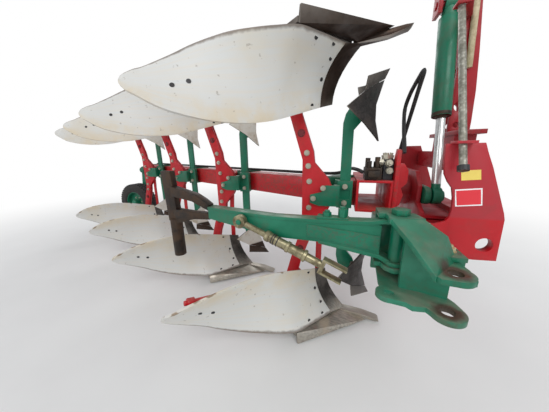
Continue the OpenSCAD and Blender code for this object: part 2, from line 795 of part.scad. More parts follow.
// Outrigger from the front frame with the fork of the press arm and the two press eyes
module press_bracket() {
    tube = 100;
    tube_x = 425;
    tube_end = -530;
    end_t = 20;
    fork_t = 22;
    fork_y = tube_end - end_t;
    eye_d = 118;
    eye = [eye_x, eye_y];
    pivot = [arm_px, arm_py];
    lug = [452, -785];
    // Corners of the cranked strap from the fork to the upper eye, left then right
    strap = [
        [[452, -712, fork_z1], [572, -684, fork_z1]],
        [[507, -812, 755], [655, -722, 758]],
        [[570, -893, eye_z[1]], [686, -744, eye_z[1]]]
    ];
    color(green) {
        translate([tube_x, tube_end, 665])
            cube([tube, -336 - tube_end, tube]);
        translate([tube_x - 10, fork_y, eye_z[0]])
            cube([tube + 20, end_t + 1, fork_z1 + fork_t - eye_z[0]]);
        for (z = [fork_z0, fork_z1])
            translate([0, 0, z])
                linear_extrude(fork_t)
                    difference() {
                        union() {
                            translate([tube_x - 10, arm_py])
                                square([tube + 20, fork_y - arm_py + 1]);
                            translate(pivot)
                                circle(d = 118);
                            if (z == fork_z1)
                                polygon([[447, -640], [445, -720], [584, -688], [566, -612], [530, -600]]);
                        }
                        translate(pivot)
                            circle(d = pivot_d + 1);
                    }
        for (i = [0, 1])
            hull()
                for (p = concat(strap[i], strap[i + 1]))
                    translate(p)
                        cylinder(h = fork_t, d = 6, $fn = 8);
        // Upper press plate
        translate([0, 0, eye_z[1]])
            linear_extrude(fork_t)
                difference() {
                    union() {
                        polygon([[570, -886], [584, -906], [eye_x, -910], [692, -890], [700, -820], [688, -742],
                            [660, -752]]);
                        translate(eye)
                            circle(d = eye_d);
                    }
                    translate(eye)
                        circle(d = eye_bore_d);
                }
        // Lower press plate with the lug on its rear side
        translate([0, 0, eye_z[0]])
            linear_extrude(fork_t)
                difference() {
                    union() {
                        polygon([[440, -540], [530, -540], [640, -690], [690, -790], [700, -830], [604, -895],
                            [576, -850], [530, -856], [510, -838], [lug[0], lug[1] - 44], [430, -700]]);
                        translate(lug)
                            circle(r = 45);
                        translate(eye)
                            circle(d = eye_d);
                    }
                    translate(eye)
                        circle(d = eye_bore_d);
                    hull() {
                        translate(lug)
                            circle(d = 26, $fn = 24);
                        translate(lug + [14, -3])
                            circle(d = 26, $fn = 24);
                    }
                }
        // Upright web between the lower press plate and the strap
        translate([0, 0, eye_z[0] + 3])
            linear_extrude(768 - eye_z[0])
                polygon([[506, -716], [604, -734], [604, -756], [506, -738]]);
        translate([0, 0, eye_z[0] + 3])
            linear_extrude(eye_z[1] - eye_z[0] + 2)
                polygon([[600, -733], [676, -758], [669, -779], [600, -755]]);
        // Ribs on the lower press plate
        translate([0, 0, eye_z[0] + 2])
            linear_extrude(fork_z0 - eye_z[0])
                polygon([[534, -690], [550, -690], [550, -543], [534, -543]]);
        // Bolted plate and bar beside the strap
        translate([0, 0, 697])
            linear_extrude(18)
                polygon([[560, -560], [714, -560], [714, -770], [660, -772], [600, -700], [560, -700]]);
        translate([640, -766, 650])
            cube([70, 206, 48]);
        translate([584, -748, 652])
            cube([18, 160, 47]);
    }
}

// Places what is drawn with its local X axis pointing forward along the parked arm
module along_arm() {
    translate([arm_px, arm_py, 0])
        rotate([0, 0, -arm_slant])
            children();
}

// Fabricated arm folded back beside the beam
module press_arm() {
    half_w = 34;
    plate_t = 12;
    eye_d = 100;
    tube_d = 64;
    top_z = fork_z1 - 20;
    low_z = fork_z0 + 25;
    strap_t = 18;
    eye_x0 = 48;
    web_front = -72;
    web = [[web_front, 642], [web_front, 784], [-110, 792], [-620, 772], [-arm_end, 784], [-arm_end, 715],
        [-620, 655], [-356, 672]];
    // Centrelines of the upper and the lower strap from the web to the pivot
    top_strap = [[-620, 757], [-360, 766], [-115, 781], [-60, top_z], [0, top_z],
        [0, top_z + strap_t], [-65, top_z + strap_t], [-118, 799], [-360, 784], [-620, 775]];
    low_strap = [[-356, 656], [-80, 624], [-22, low_z], [0, low_z], [0, low_z + strap_t],
        [-16, low_z + strap_t], [-72, 643], [-356, 675]];
    // Columns: distance behind the pivot, foot length, height of the stud over the strap
    studs = [[322, 96, 30], [247, 60, 54]];
    color(green)
        along_arm() {
            translate([0, 0, low_z])
                cylinder(h = top_z + strap_t - low_z, d = tube_d);
            for (z = [top_z, low_z])
                translate([0, 0, z])
                    cylinder(h = strap_t, d = eye_d);
            translate([0, 0, fork_z0 - 22])
                cylinder(h = fork_z1 - fork_z0 + 66, d = pivot_d);
            translate([0, 0, fork_z1 + 23])
                cylinder(h = 24, d = 76, $fn = 6);
            plate_xz(top_strap, -half_w, 2 * half_w);
            plate_xz(low_strap, -half_w, 2 * half_w);
            for (y = [-half_w + 3, half_w - plate_t - 3])
                plate_xz(web, y, plate_t);
            // Proud panel on the near web
            plate_xz([[-416, 684], [-416, 752], [-76, 734], [-76, 658], [-356, 686]], -half_w - 3, 8);
            plate_xz([[-600, 757], [-600, 775], [-arm_end, 790], [-arm_end, 774]], -half_w, 2 * half_w);
            plate_xz([[-620, 655], [-620, 667], [-arm_end, 727], [-arm_end, 715]], -half_w + 4, 2 * half_w - 8);
            plate_xz([[-620, 655], [-620, 667], [-340, 676], [-340, 664]], -half_w + 4, 2 * half_w - 8);
            for (f = studs) {
                translate([-f[0] - f[1] / 2, -26, 775])
                    cube([f[1], 52, 24]);
                translate([-f[0], 0, 798])
                    cylinder(h = f[2] - 10, d = 44, $fn = 6);
                translate([-f[0], 0, 798])
                    cylinder(h = f[2], d = 26);
            }
            rod_y(-86, half_w + 20, -800, 735, 30);
        }
}

// Worn catch at the arm's end: an upright bar over a round guide, held by two plates
module press_catch() {
    bar_t = 44;
    guide_d = 80;
    guide_x = -arm_len + 18;
    guide_z = [402, 676];
    color(dark)
        along_arm() {
            plate_xz([[-arm_len - 45, 1005], [-arm_len + 40, 1005], [-arm_len + 62, 660], [-arm_len - 26, 660]],
                -bar_t / 2, bar_t);
            translate([guide_x, 0, guide_z[0]])
                cylinder(h = guide_z[1] - guide_z[0], d = guide_d);
            plate_xz([[-arm_len + 30, 905], [-1160, 862], [-1095, 830], [-arm_end - 0.5, 800],
                [-arm_end - 0.5, 762], [-1120, 790], [-1180, 815], [-arm_len + 30, 838]], -bar_t / 2 - 6, bar_t + 12);
            plate_xz([[-arm_len + 30, 748], [-1180, 742], [-arm_end - 0.5, 745], [-arm_end - 0.5, 705],
                [-1180, 694], [-arm_len + 30, 640]], -bar_t / 2 - 3, bar_t + 6);
        }
}

// Turnbuckle pinned to the arm at one end, its other clevis hanging free
module turnbuckle() {
    lean = 21;
    len = 624;
    color(zinc)
        along_arm()
            translate([-800, -63, 735])
                rotate([0, lean, 0]) {
                    difference() {
                        rod_y(-18, 18, 0, 0, 76);
                        rod_y(-19, 19, 0, 0, 31);
                    }
                    rod_x(36, 505, 0, 0, 28);
                    rod_x(170, 400, 0, 0, 50);
                    for (z = [-43, 31])
                        translate([519, -20, z])
                            cube([len - 519, 40, 12]);
                    translate([500, -20, -43])
                        cube([20, 40, 86]);
                }
}

// Seat at the beam's rear end with the pin on which the wheel arm swings
module wheel_bracket() {
    plate_t = 20;
    seat_h = 150;
    function beam_xy(u, v) = [u * cos(beam_angle) + v * sin(beam_angle), -u * sin(beam_angle) + v * cos(beam_angle)];
    mid_u = -beam_rear - weld_gap - plate_t / 2;
    color(green) {
        rotate([0, 0, -beam_angle])
            translate([-beam_rear - weld_gap - plate_t, -half_side, axis_z - half_side - 10])
                cube([plate_t, beam_side + 10, beam_side + 20]);
        translate([0, 0, axis_z - seat_h / 2])
            linear_extrude(seat_h)
                polygon([[pivot_x - 40, hub_y1 + 3], [pivot_x + 40, hub_y1 + 3], beam_xy(mid_u, -62),
                    beam_xy(mid_u, 40), [pivot_x - 40, hub_y1 + 93]]);
        rod_y(hub_y0 - 20, hub_y1 + 4, pivot_x, axis_z, 60);
        rod_y(hub_y0 - 34, hub_y0 - 3, pivot_x, axis_z, 84);
    }
}

// Swinging arm with the stub axle
module wheel_arm() {
    fall = atan2(axis_z - wheel_z, pivot_x - wheel_x);
    arm_l = norm([axis_z - wheel_z, pivot_x - wheel_x]);
    arm_h = 76;
    color(green)
        difference() {
            union() {
                rod_y(hub_y0, hub_y1, pivot_x, axis_z, 116);
                translate([pivot_x, hub_y0, axis_z])
                    rotate([0, 180 - fall, 0])
                        translate([40, 6, -arm_h / 2])
                            cube([arm_l - 70, hub_y1 - hub_y0 - 12, arm_h]);
                rod_y(hub_y0 - 6, hub_y1, wheel_x, wheel_z, 96);
                rod_y(wheel_y - 70, hub_y0, wheel_x, wheel_z, axle_d);
            }
            rod_y(hub_y0 - 30, hub_y1 + 30, pivot_x, axis_z, 61);
        }
}

module wheel_rim() {
    hub_d = 96;
    rim_d = 2 * rim_r;
    rim_w = tyre_w - 30;
    color(green)
        difference() {
            union() {
                rod_y(wheel_y - 90, wheel_y + 95, wheel_x, wheel_z, hub_d);
                rod_y(wheel_y - 8, wheel_y + 8, wheel_x, wheel_z, rim_d - 10);
                difference() {
                    rod_y(wheel_y - rim_w / 2, wheel_y + rim_w / 2, wheel_x, wheel_z, rim_d);
                    rod_y(wheel_y - rim_w / 2 - 1, wheel_y + rim_w / 2 + 1, wheel_x, wheel_z, rim_d - 16);
                }
            }
            rod_y(wheel_y - 71, wheel_y + 96, wheel_x, wheel_z, axle_d + 1);
        }
}

module wheel_tyre() {
    half = tyre_w / 2;
    crown = tyre_d / 2;
    color(dark)
        translate([wheel_x, wheel_y, wheel_z])
            rotate([90, 0, 0])
                rotate_extrude($fn = 72)
                    polygon([[rim_r, -half + 16], [rim_r + 25, -half], [crown - 30, -half], [crown - 8, -half + 16],
                        [crown, -half + 45], [crown, half - 45], [crown - 8, half - 16], [crown - 30, half],
                        [rim_r + 25, half], [rim_r, half - 16]]);
}

placed() headstock_frame();
placed() mast();
placed() turnover_shaft();
placed() front_frame();
placed() main_beam();
placed() leg_at(1);  // leg_1
placed() leg_at(2);  // leg_2
placed() leg_at(3);  // leg_3
placed() leg_at(4);  // leg_4
placed() mouldboard_lower(1);  // mouldboard_lower_1
placed() mouldboard_lower(2);  // mouldboard_lower_2
placed() mouldboard_lower(3);  // mouldboard_lower_3
placed() mouldboard_lower(4);  // mouldboard_lower_4
placed() mouldboard_upper(1);  // mouldboard_upper_1
placed() mouldboard_upper(2);  // mouldboard_upper_2
placed() mouldboard_upper(3);  // mouldboard_upper_3
placed() mouldboard_upper(4);  // mouldboard_upper_4
placed() share_lower(1);  // share_lower_1
placed() share_lower(2);  // share_lower_2
placed() share_lower(3);  // share_lower_3
placed() share_lower(4);  // share_lower_4
placed() share_upper(1);  // share_upper_1
placed() share_upper(2);  // share_upper_2
placed() share_upper(3);  // share_upper_3
placed() share_upper(4);  // share_upper_4
placed() skim_stem_at(1);  // skim_stem_1
placed() skim_stem_at(2);  // skim_stem_2
placed() skim_stem_at(3);  // skim_stem_3
placed() skim_stem_at(4);  // skim_stem_4
placed() skim_blades_at(1);  // skim_blades_1
placed() skim_blades_at(2);  // skim_blades_2
placed() skim_blades_at(3);  // skim_blades_3
placed() skim_blades_at(4);  // skim_blades_4
placed() press_bracket();
placed() press_arm();
placed() press_catch();
placed() turnbuckle();
placed() mast_head();
placed() mast_tube();
placed() mast_lath();
placed() hydraulic_valve();
placed() hose_beam();
placed() hose_loop();
placed() cylinder_barrel();
placed() cylinder_rod();
placed() wheel_bracket();
placed() wheel_arm();
placed() wheel_rim();
placed() wheel_tyre();
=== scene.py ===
"""Finish, fasteners and studio for a mounted reversible plough, laid out as an add-on."""

import json
import math

import bmesh
import bpy
from bpy.props import FloatProperty, FloatVectorProperty, IntProperty, PointerProperty
from mathutils import Matrix, Vector

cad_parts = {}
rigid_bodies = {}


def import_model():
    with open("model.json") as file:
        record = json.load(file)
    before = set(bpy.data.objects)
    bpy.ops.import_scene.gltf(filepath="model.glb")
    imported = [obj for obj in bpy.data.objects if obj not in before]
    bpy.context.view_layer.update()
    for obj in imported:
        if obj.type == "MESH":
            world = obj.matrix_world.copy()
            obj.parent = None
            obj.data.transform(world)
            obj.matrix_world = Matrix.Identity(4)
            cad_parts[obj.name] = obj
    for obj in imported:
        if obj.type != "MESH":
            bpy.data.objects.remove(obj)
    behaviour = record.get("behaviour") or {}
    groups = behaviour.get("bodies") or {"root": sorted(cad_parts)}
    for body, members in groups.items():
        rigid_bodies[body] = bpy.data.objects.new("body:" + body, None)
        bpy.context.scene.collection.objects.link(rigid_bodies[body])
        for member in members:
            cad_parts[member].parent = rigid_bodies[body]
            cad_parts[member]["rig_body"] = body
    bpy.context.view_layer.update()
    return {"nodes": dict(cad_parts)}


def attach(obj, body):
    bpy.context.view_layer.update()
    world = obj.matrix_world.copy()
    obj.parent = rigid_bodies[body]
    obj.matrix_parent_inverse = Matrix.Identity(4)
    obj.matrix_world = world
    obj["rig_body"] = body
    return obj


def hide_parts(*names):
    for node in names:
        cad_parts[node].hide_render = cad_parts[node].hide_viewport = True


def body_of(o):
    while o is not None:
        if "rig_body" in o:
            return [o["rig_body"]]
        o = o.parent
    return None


bl_info = {
    "name": "Reversible plough finish",
    "version": (1, 0, 0),
    "blender": (4, 5, 0),
    "location": "View3D > Sidebar > Plough",
    "description": "Paint, worn steel, mouldboards, fasteners, tyre and studio for the plough",
    "category": "Object",
}

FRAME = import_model()
NODES = FRAME["nodes"]

# Layout of the plough in millimetres, measured from the beam's crossing of the first leg
ORIGIN = Vector((-1180.5, 197.891, 0.0))
AXIS_Z = 850.0
STEP_X = 861.0
STEP_Y = 401.0
BODIES = (1, 2, 3, 4)
BEAM_ANGLE = math.atan(STEP_Y / STEP_X)
HALF_BEAM = 80.0

# Near and far face of a leg, near face of the headstock's cheek, top of the front frame's cross box
LEG_NEAR = -344.0
LEG_FAR = -300.0
CHEEK_FACE = -445.2
BOX_TOP = AXIS_Z + 95.4

# Depth wheel: centre, half width, radii over the tread and over the rim
WHEEL = Vector((-3050.0, 1095.0, 325.0))
TYRE_HALF = 95.0
TYRE_RADIUS = 305.0
RIM_RADIUS = 170.0

# Turnover cylinder: upper pin, distance from it to the gland, radius of the crank
CYLINDER_PIN = Vector((770.0, 0.0, 1900.0))
GLAND_REACH = 600
CRANK_RADIUS = 230.0

# Press arm: pivot and slant, then the turnbuckle's eye (behind the pivot, across, height) and its lean
ARM_PIVOT = (502, -640)
ARM_SLANT = math.radians(-6)
TURNBUCKLE_EYE = (800, 63, 735)
TURNBUCKLE_LEAN = math.radians(21)

# Upright tube beside the mast: foot and top
TUBE_FOOT = (754, -520, 1020)
TUBE_TOP = (757, -200, 1809)

# Camera: place, and its heading, pitch and roll
CAMERA_PLACE = (238, -1685, 1122)
CAMERA_TURNS = (math.radians(107.194), math.radians(14.333), math.radians(1.1065))

# Start and end of the blends between finishes and painted light, in metres in the part's frame: heights,
# a skimmer's distance from the beam's centreline, and Y just behind the cheek's near face
SHARE_BRIGHT = (0.045, 0.15)
SKIMMER_SHARE = (0.565, 0.555)
ROD_EYE = (0.925, 0.918)
# Height of the cheek's fold: above it a paler red stands in for painted sky light
CHEEK_FOLD = (0.775, 0.792)
# Behind the cheek's near face the headstock red darkens as painted shade
CHEEK_INSIDE = (-0.612, -0.632)

# Eye of the press bracket in the same frame: X, Y, radii where its rust is full and gone
PRESS_EYE = (1.8245, -1.0499, 0.034, 0.062)

# Direction that a skimmer's working face looks in
WORKING_SIDE = (0.76, -0.65, 0.0)

# Angle between two faces up to which they are shaded as one
CREASE = math.radians(32)

# Sections of a mouldboard from the shin to the tail: top, bottom, depth of the hollow
BOARD_ROWS = (
    ((106, -355, 348), (226, -410, 72), 44),
    ((52, -432, 374), (170, -475, 66), 46),
    ((-15, -521, 405), (104, -552, 63), 47),
    ((-75, -603, 432), (37, -629, 64), 46),
    ((-135, -683, 450), (-60, -678, 74), 42),
    ((-190, -754, 457), (-150, -710, 83), 36),
    ((-245, -822, 457), (-230, -740, 96), 30),
    ((-302, -886, 449), (-302, -777, 122), 24),
    ((-362, -941, 433), (-372, -820, 157), 18),
    ((-428, -984, 407), (-440, -864, 199), 12),
    ((-505, -1005, 364), (-508, -934, 253), 6),
    ((-538, -1007, 349), (-540, -953, 265), 4),
    ((-555, -1005, 336), (-557, -967, 276), 3),
    ((-567, -1003, 327), (-568, -976, 284), 2),
    ((-574, -999, 317), (-574, -985, 293), 1),
    ((-577, -995, 308), (-577, -991, 302), 0),
)

# Bolt heads on a mouldboard: X, Y, height
BOARD_BOLTS = (
    (64, -425, 352), (106, -392, 208), (159, -398, 126), (157, -450, 83), (94, -516, 81),
    (-358, -854, 304), (-398, -908, 326),
)

# Bolts through a leg: X, distance above and below the beam's centreline
LEG_BOLTS = ((-1, 371), (34, 256), (44, 178), (52, 84))

# Bolts on the near side of a skimmer clamp: X, Y, height above the beam's centreline
CLAMP_BOLTS = ((80, -356, -21), (138, -356, 46), (265, -302, 50), (265, -302, -52))

# Rows of tread blocks: from and to across the tyre, shift in steps, drop of their feet
TREAD_ROWS = ((-84, -60, 0.0, 18), (-54, -18, 0.5, 8), (18, 54, 0.0, 8), (60, 84, 0.5, 18))
BLOCK_FACES = ((0, 1, 3, 2), (4, 6, 7, 5), (0, 4, 5, 1), (2, 3, 7, 6), (0, 2, 6, 4), (1, 5, 7, 3))


def tone(red, green, blue):
    """Linear colour of a screen colour given in 0 to 255."""
    def linear(value):
        value /= 255.0
        return value / 12.92 if value <= 0.04045 else ((value + 0.055) / 1.055) ** 2.4
    return (linear(red), linear(green), linear(blue), 1.0)


def shaded(color, factor):
    """The colour made darker or lighter by a factor."""
    return tuple(c * factor for c in color[:3]) + (1.0,)


def place(x, y, z):
    """Point in metres in the part's frame from layout millimetres."""
    return (Vector((x, y, z)) - ORIGIN) / 1000.0


def at_body(point, body, upper=False):
    """Layout point of the first lower body moved to another body, mirrored for an upper one."""
    x, y, z = point
    z = 2 * AXIS_Z - z if upper else z
    return Vector((x - (body - 1) * STEP_X, y + (body - 1) * STEP_Y, z))


def along_beam(u, v, z):
    """Layout point at u along the beam and v across it."""
    c, s = math.cos(BEAM_ANGLE), math.sin(BEAM_ANGLE)
    return Vector((u * c + v * s, -u * s + v * c, z))


def add_node(tree, kind, values=None):
    """Adds a node and fills in its inputs."""
    node = tree.nodes.new(kind)
    for entry, value in (values or {}).items():
        node.inputs[entry].default_value = value
    return node


def wire(tree, rows):
    """Links nodes by rows of a node, its output, the next node and its input."""
    for source, output, target, entry in rows:
        tree.links.new(source.outputs[output], target.inputs[entry])


class Shading:
    """A material's node tree under construction."""

    def __init__(self, name, roughness=0.5, metallic=0.0):
        self.material = bpy.data.materials.new(name)
        self.material.use_nodes = True
        self.tree = self.material.node_tree
        self.links = self.tree.links
        self.shader = self.tree.nodes["Principled BSDF"]
        self.shader.inputs["Roughness"].default_value = roughness
        self.shader.inputs["Metallic"].default_value = metallic
        self.coords = self.add("ShaderNodeTexCoord")

    def add(self, kind, values=None):
        return add_node(self.tree, kind, values)

    def feed(self, sockets, values):
        """Sets each socket, or links it where the value comes from another node."""
        for socket, value in zip(sockets, values):
            if isinstance(value, bpy.types.NodeSocket):
                self.links.new(value, socket)
            else:
                socket.default_value = value

    def mapping(self, source="Object", scale=(1, 1, 1), rotation=(0, 0, 0)):
        node = self.add("ShaderNodeMapping", {"Scale": scale, "Rotation": rotation})
        self.links.new(self.coords.outputs[source], node.inputs["Vector"])
        return node.outputs["Vector"]

    def noise(self, scale, detail=4.0, rough=0.55, vector=None, distortion=0.0):
        values = {"Scale": scale, "Detail": detail, "Roughness": rough, "Distortion": distortion}
        node = self.add("ShaderNodeTexNoise", values)
        self.links.new(vector or self.coords.outputs["Object"], node.inputs["Vector"])
        return node.outputs["Fac"]

    def ramp(self, value, low, high, start=0.0, end=1.0):
        """Smooth step of a value between two limits."""
        values = {"From Min": low, "From Max": high, "To Min": start, "To Max": end}
        node = self.add("ShaderNodeMapRange", values)
        node.interpolation_type = "SMOOTHSTEP"
        self.links.new(value, node.inputs["Value"])
        return node.outputs["Result"]

    def math(self, operation, first, second):
        node = self.add("ShaderNodeMath")
        node.operation = operation
        self.feed(node.inputs, (first, second))
        return node.outputs["Value"]

    def mix(self, factor, first, second):
        node = self.add("ShaderNodeMix")
        node.data_type = "RGBA"
        self.feed((node.inputs["Factor"], node.inputs[6], node.inputs[7]), (factor, first, second))
        return node.outputs[2]

    def axis(self, name, source="Object"):
        """One component of a coordinate."""
        split = self.add("ShaderNodeSeparateXYZ")
        self.links.new(self.coords.outputs[source], split.inputs["Vector"])
        return split.outputs[name]

    def facing(self, direction, low, high):
        """Where the surface's own normal points along a direction."""
        node = self.add("ShaderNodeVectorMath", {1: direction})
        node.operation = "DOT_PRODUCT"
        self.links.new(self.coords.outputs["Normal"], node.inputs[0])
        return self.ramp(node.outputs["Value"], low, high)

    def edges(self, low=0.52, high=0.6):
        """Where the surface is a convex edge."""
        return self.ramp(self.add("ShaderNodeNewGeometry").outputs["Pointiness"], low, high)

    def upward(self):
        """Where the surface faces up."""
        split = self.add("ShaderNodeSeparateXYZ")
        self.links.new(self.add("ShaderNodeNewGeometry").outputs["Normal"], split.inputs["Vector"])
        return self.ramp(split.outputs["Z"], 0.4, 0.95)

    def bump(self, height, strength, distance):
        node = self.add("ShaderNodeBump", {"Strength": strength, "Distance": distance})
        self.links.new(height, node.inputs["Height"])
        self.links.new(node.outputs["Normal"], self.shader.inputs["Normal"])

    def finish(self, color, roughness=None, metallic=None):
        self.links.new(color, self.shader.inputs["Base Color"])
        if roughness is not None:
            self.links.new(roughness, self.shader.inputs["Roughness"])
        if metallic is not None:
            self.links.new(metallic, self.shader.inputs["Metallic"])
        return self.material


def paint(name, color, faded, fade, dust, wear=0.5, eye=None):
    """Gloss paint: patchy fading, dusty on top, worn at its edges and, if asked for, rusted around an eye."""
    s = Shading(name, roughness=0.4)
    cloud = s.ramp(s.noise(1.7, 3.0), 0.42, 0.68, 0.0, fade)
    base = s.mix(cloud, color, faded)
    mottled = s.ramp(s.noise(24.0, 5.0), 0.35, 0.75, 0.0, 0.35)
    base = s.mix(mottled, base, shaded(color, 0.72))
    grime = s.math("MULTIPLY", s.ramp(s.noise(6.0, 6.0, 0.65), 0.5, 0.72), dust)
    base = s.mix(grime, base, tone(112, 92, 74))
    settled = s.math("MULTIPLY", s.upward(), s.ramp(s.noise(9.0, 5.0), 0.35, 0.7, 0.1, dust * 1.2))
    base = s.mix(settled, base, tone(150, 136, 120))
    chips = s.math("MULTIPLY", s.edges(), s.ramp(s.noise(55.0, 4.0), 0.45, 0.6, 0.0, wear))
    base = s.mix(chips, base, tone(88, 70, 60))
    if eye:
        off_x = s.math("POWER", s.math("SUBTRACT", s.axis("X"), eye[0]), 2.0)
        off_y = s.math("POWER", s.math("SUBTRACT", s.axis("Y"), eye[1]), 2.0)
        away = s.math("POWER", s.math("ADD", off_x, off_y), 0.5)
        rough_rim = s.math("MULTIPLY", s.math("SUBTRACT", s.noise(22.0, 5.0, 0.7), 0.5), 0.05)
        ragged = s.math("ADD", away, rough_rim)
        base = s.mix(s.ramp(ragged, eye[2], eye[3], 0.9, 0.0), base, tone(74, 50, 40))
    rough = s.ramp(s.noise(12.0, 5.0), 0.3, 0.75, 0.3, 0.62)
    s.bump(s.noise(160.0, 3.0), 0.08, 0.001)
    return s.finish(base, rough)


def ground_steel(name, color, soil, shine, scratch=(90.0, 6.0, 90.0), above=None):
    """Steel scoured by soil, with rust in its dull places and, if asked for, darker higher up."""
    s = Shading(name, roughness=0.42, metallic=0.8)
    streak = s.noise(1.0, 6.0, 0.6, s.mapping(scale=scratch, rotation=(0.2, 0.1, 0.6)))
    base = s.mix(s.ramp(streak, 0.3, 0.7), color, shaded(color, 0.55))
    rust = s.ramp(s.noise(7.0, 6.0, 0.7), 0.44, 0.66, 0.0, 0.85)
    base = s.mix(rust, base, soil)
    dark = s.ramp(s.noise(2.3, 3.0), 0.45, 0.7, 0.0, 0.5)
    base = s.mix(dark, base, shaded(color, 0.4))
    if above:
        shade = s.mix(s.ramp(s.noise(14.0, 5.0, 0.7), 0.4, 0.66), above, shaded(above, 1.9))
        base = s.mix(s.ramp(s.axis("Z"), *SHARE_BRIGHT, 0.0, 0.92), base, shade)
    base = s.mix(s.edges(0.53, 0.62), base, tone(168, 160, 150))
    rough = s.ramp(s.noise(9.0, 5.0), 0.35, 0.7, 0.32, 0.72)
    metal = s.ramp(s.noise(7.0, 6.0, 0.7), 0.44, 0.66, shine, 0.15)
    s.bump(streak, 0.18, 0.0012)
    return s.finish(base, rough, metal)


def board_plastic(name):
    """Pale plastic with fine slanting scratches, warm stains towards its top and a scuffed lower rim."""
    s = Shading(name, roughness=0.42)
    height = s.axis("Y", "UV")
    run = s.mapping("UV", scale=(2.0, 9.0, 1.0), rotation=(0.0, 0.0, -0.22))
    streak = s.noise(2.0, 5.0, 0.6, run, 0.4)
    base = s.mix(s.ramp(streak, 0.35, 0.75), tone(216, 217, 214), tone(219, 215, 206))
    scratch = s.noise(11.0, 6.0, 0.7, s.mapping("UV", scale=(1.8, 26.0, 1.0), rotation=(0.0, 0.0, -0.18)))
    base = s.mix(s.ramp(scratch, 0.6, 0.72, 0.0, 0.2), base, tone(184, 176, 162))
    cloud = s.ramp(s.noise(5.0, 5.0, 0.65), 0.36, 0.66, 0.0, 0.7)
    warm = s.math("MULTIPLY", s.ramp(height, 0.55, 0.98), cloud)
    base = s.mix(warm, base, tone(219, 202, 170))
    patch = s.ramp(s.noise(2.1, 4.0), 0.52, 0.74, 0.0, 0.4)
    base = s.mix(patch, base, tone(219, 204, 174))
    spots = s.ramp(s.noise(34.0, 3.0, 0.6), 0.66, 0.72, 0.0, 0.45)
    base = s.mix(spots, base, tone(122, 104, 86))
    ragged = s.math("ADD", height, s.math("MULTIPLY", s.math("SUBTRACT", s.noise(30.0, 4.0), 0.5), 0.05))
    base = s.mix(s.ramp(ragged, 0.012, 0.05, 0.75, 0.0), base, tone(96, 76, 60))
    base = s.mix(s.edges(0.53, 0.6), base, tone(150, 130, 108))
    s.bump(scratch, 0.06, 0.0008)
    return s.finish(base, s.ramp(scratch, 0.3, 0.7, 0.34, 0.55))


def skimmer(name, cream, dark, soil):
    """Skimmer body: pale plastic on its working face, bare steel on its share and its back."""
    s = Shading(name, roughness=0.5)
    reach = s.math("ABSOLUTE", s.math("SUBTRACT", s.axis("Z"), AXIS_Z / 1000), 0.0)
    front = s.math("MULTIPLY", s.facing(WORKING_SIDE, 0.2, 0.35), s.ramp(reach, *SKIMMER_SHARE))
    stain = s.ramp(s.noise(9.0, 6.0, 0.7), 0.45, 0.72, 0.0, 0.8)
    pale = s.mix(stain, cream, tone(176, 158, 128))
    steel = s.mix(s.ramp(s.noise(7.0, 6.0, 0.7), 0.4, 0.68), dark, soil)
    base = s.mix(front, steel, pale)
    base = s.mix(s.edges(0.54, 0.63), base, tone(128, 116, 104))
    s.bump(s.noise(60.0, 4.0), 0.1, 0.001)
    return s.finish(base, s.ramp(s.noise(20.0), 0.3, 0.7, 0.4, 0.7), s.ramp(front, 0.0, 1.0, 0.7, 0.0))


def rod_finish(name, color, eye):
    """Bright rod whose welded eye is painted."""
    s = Shading(name)
    painted = s.ramp(s.axis("Z"), *ROD_EYE)
    fine = s.noise(40.0, 4.0)
    base = s.mix(s.ramp(fine, 0.3, 0.7), color, shaded(color, 0.86))
    base = s.mix(painted, base, s.mix(s.ramp(s.noise(9.0), 0.4, 0.7), eye, tone(40, 120, 94)))
    s.bump(fine, 0.02, 0.0005)
    return s.finish(base, s.ramp(painted, 0.0, 1.0, 0.16, 0.42), s.ramp(painted, 0.0, 1.0, 0.55, 0.0))


def folded_red(name, color, faded):
    """Headstock paint: bright below the cheek's fold, a paler red above it as painted sky light, and painted
    shade behind the near face.
    """
    s = Shading(name, roughness=0.42)
    # Above the fold a paler red is painted sky light, in place of the upper cheek leaning towards the sky
    painted_sky_light = s.ramp(s.axis("Z"), *CHEEK_FOLD)
    cloud = s.ramp(s.noise(1.7, 3.0), 0.4, 0.7, 0.0, 0.45)
    above = s.mix(cloud, faded, shaded(faded, 1.12))
    base = s.mix(painted_sky_light, color, above)
    # Faces behind the near face get a dark red as painted shade
    clear_of_painted_shade = s.ramp(s.axis("Y"), *CHEEK_INSIDE)
    base = s.mix(clear_of_painted_shade, s.mix(0.5, color, tone(96, 12, 22)), base)
    grime = s.ramp(s.noise(6.0, 6.0, 0.65), 0.52, 0.74, 0.0, 0.25)
    base = s.mix(grime, base, tone(112, 72, 66))
    chips = s.math("MULTIPLY", s.edges(), s.ramp(s.noise(55.0, 4.0), 0.45, 0.6, 0.0, 0.4))
    base = s.mix(chips, base, tone(98, 66, 60))
    s.bump(s.noise(160.0, 3.0), 0.08, 0.001)
    return s.finish(base, s.ramp(s.noise(12.0, 5.0), 0.3, 0.75, 0.32, 0.58))


def plain(name, color, second, scale, roughness, metallic=0.0, bump=0.15):
    """Two tones broken up by noise at one scale, lighter along the edges."""
    s = Shading(name, metallic=metallic)
    pattern = s.noise(scale, 6.0, 0.65)
    base = s.mix(s.ramp(pattern, 0.36, 0.66), color, second)
    base = s.mix(s.edges(0.54, 0.63), base, tuple(min(1.0, c * 1.7 + 0.02) for c in color[:3]) + (1.0,))
    s.bump(pattern, bump, 0.0012)
    return s.finish(base, s.ramp(pattern, 0.3, 0.7, *roughness))


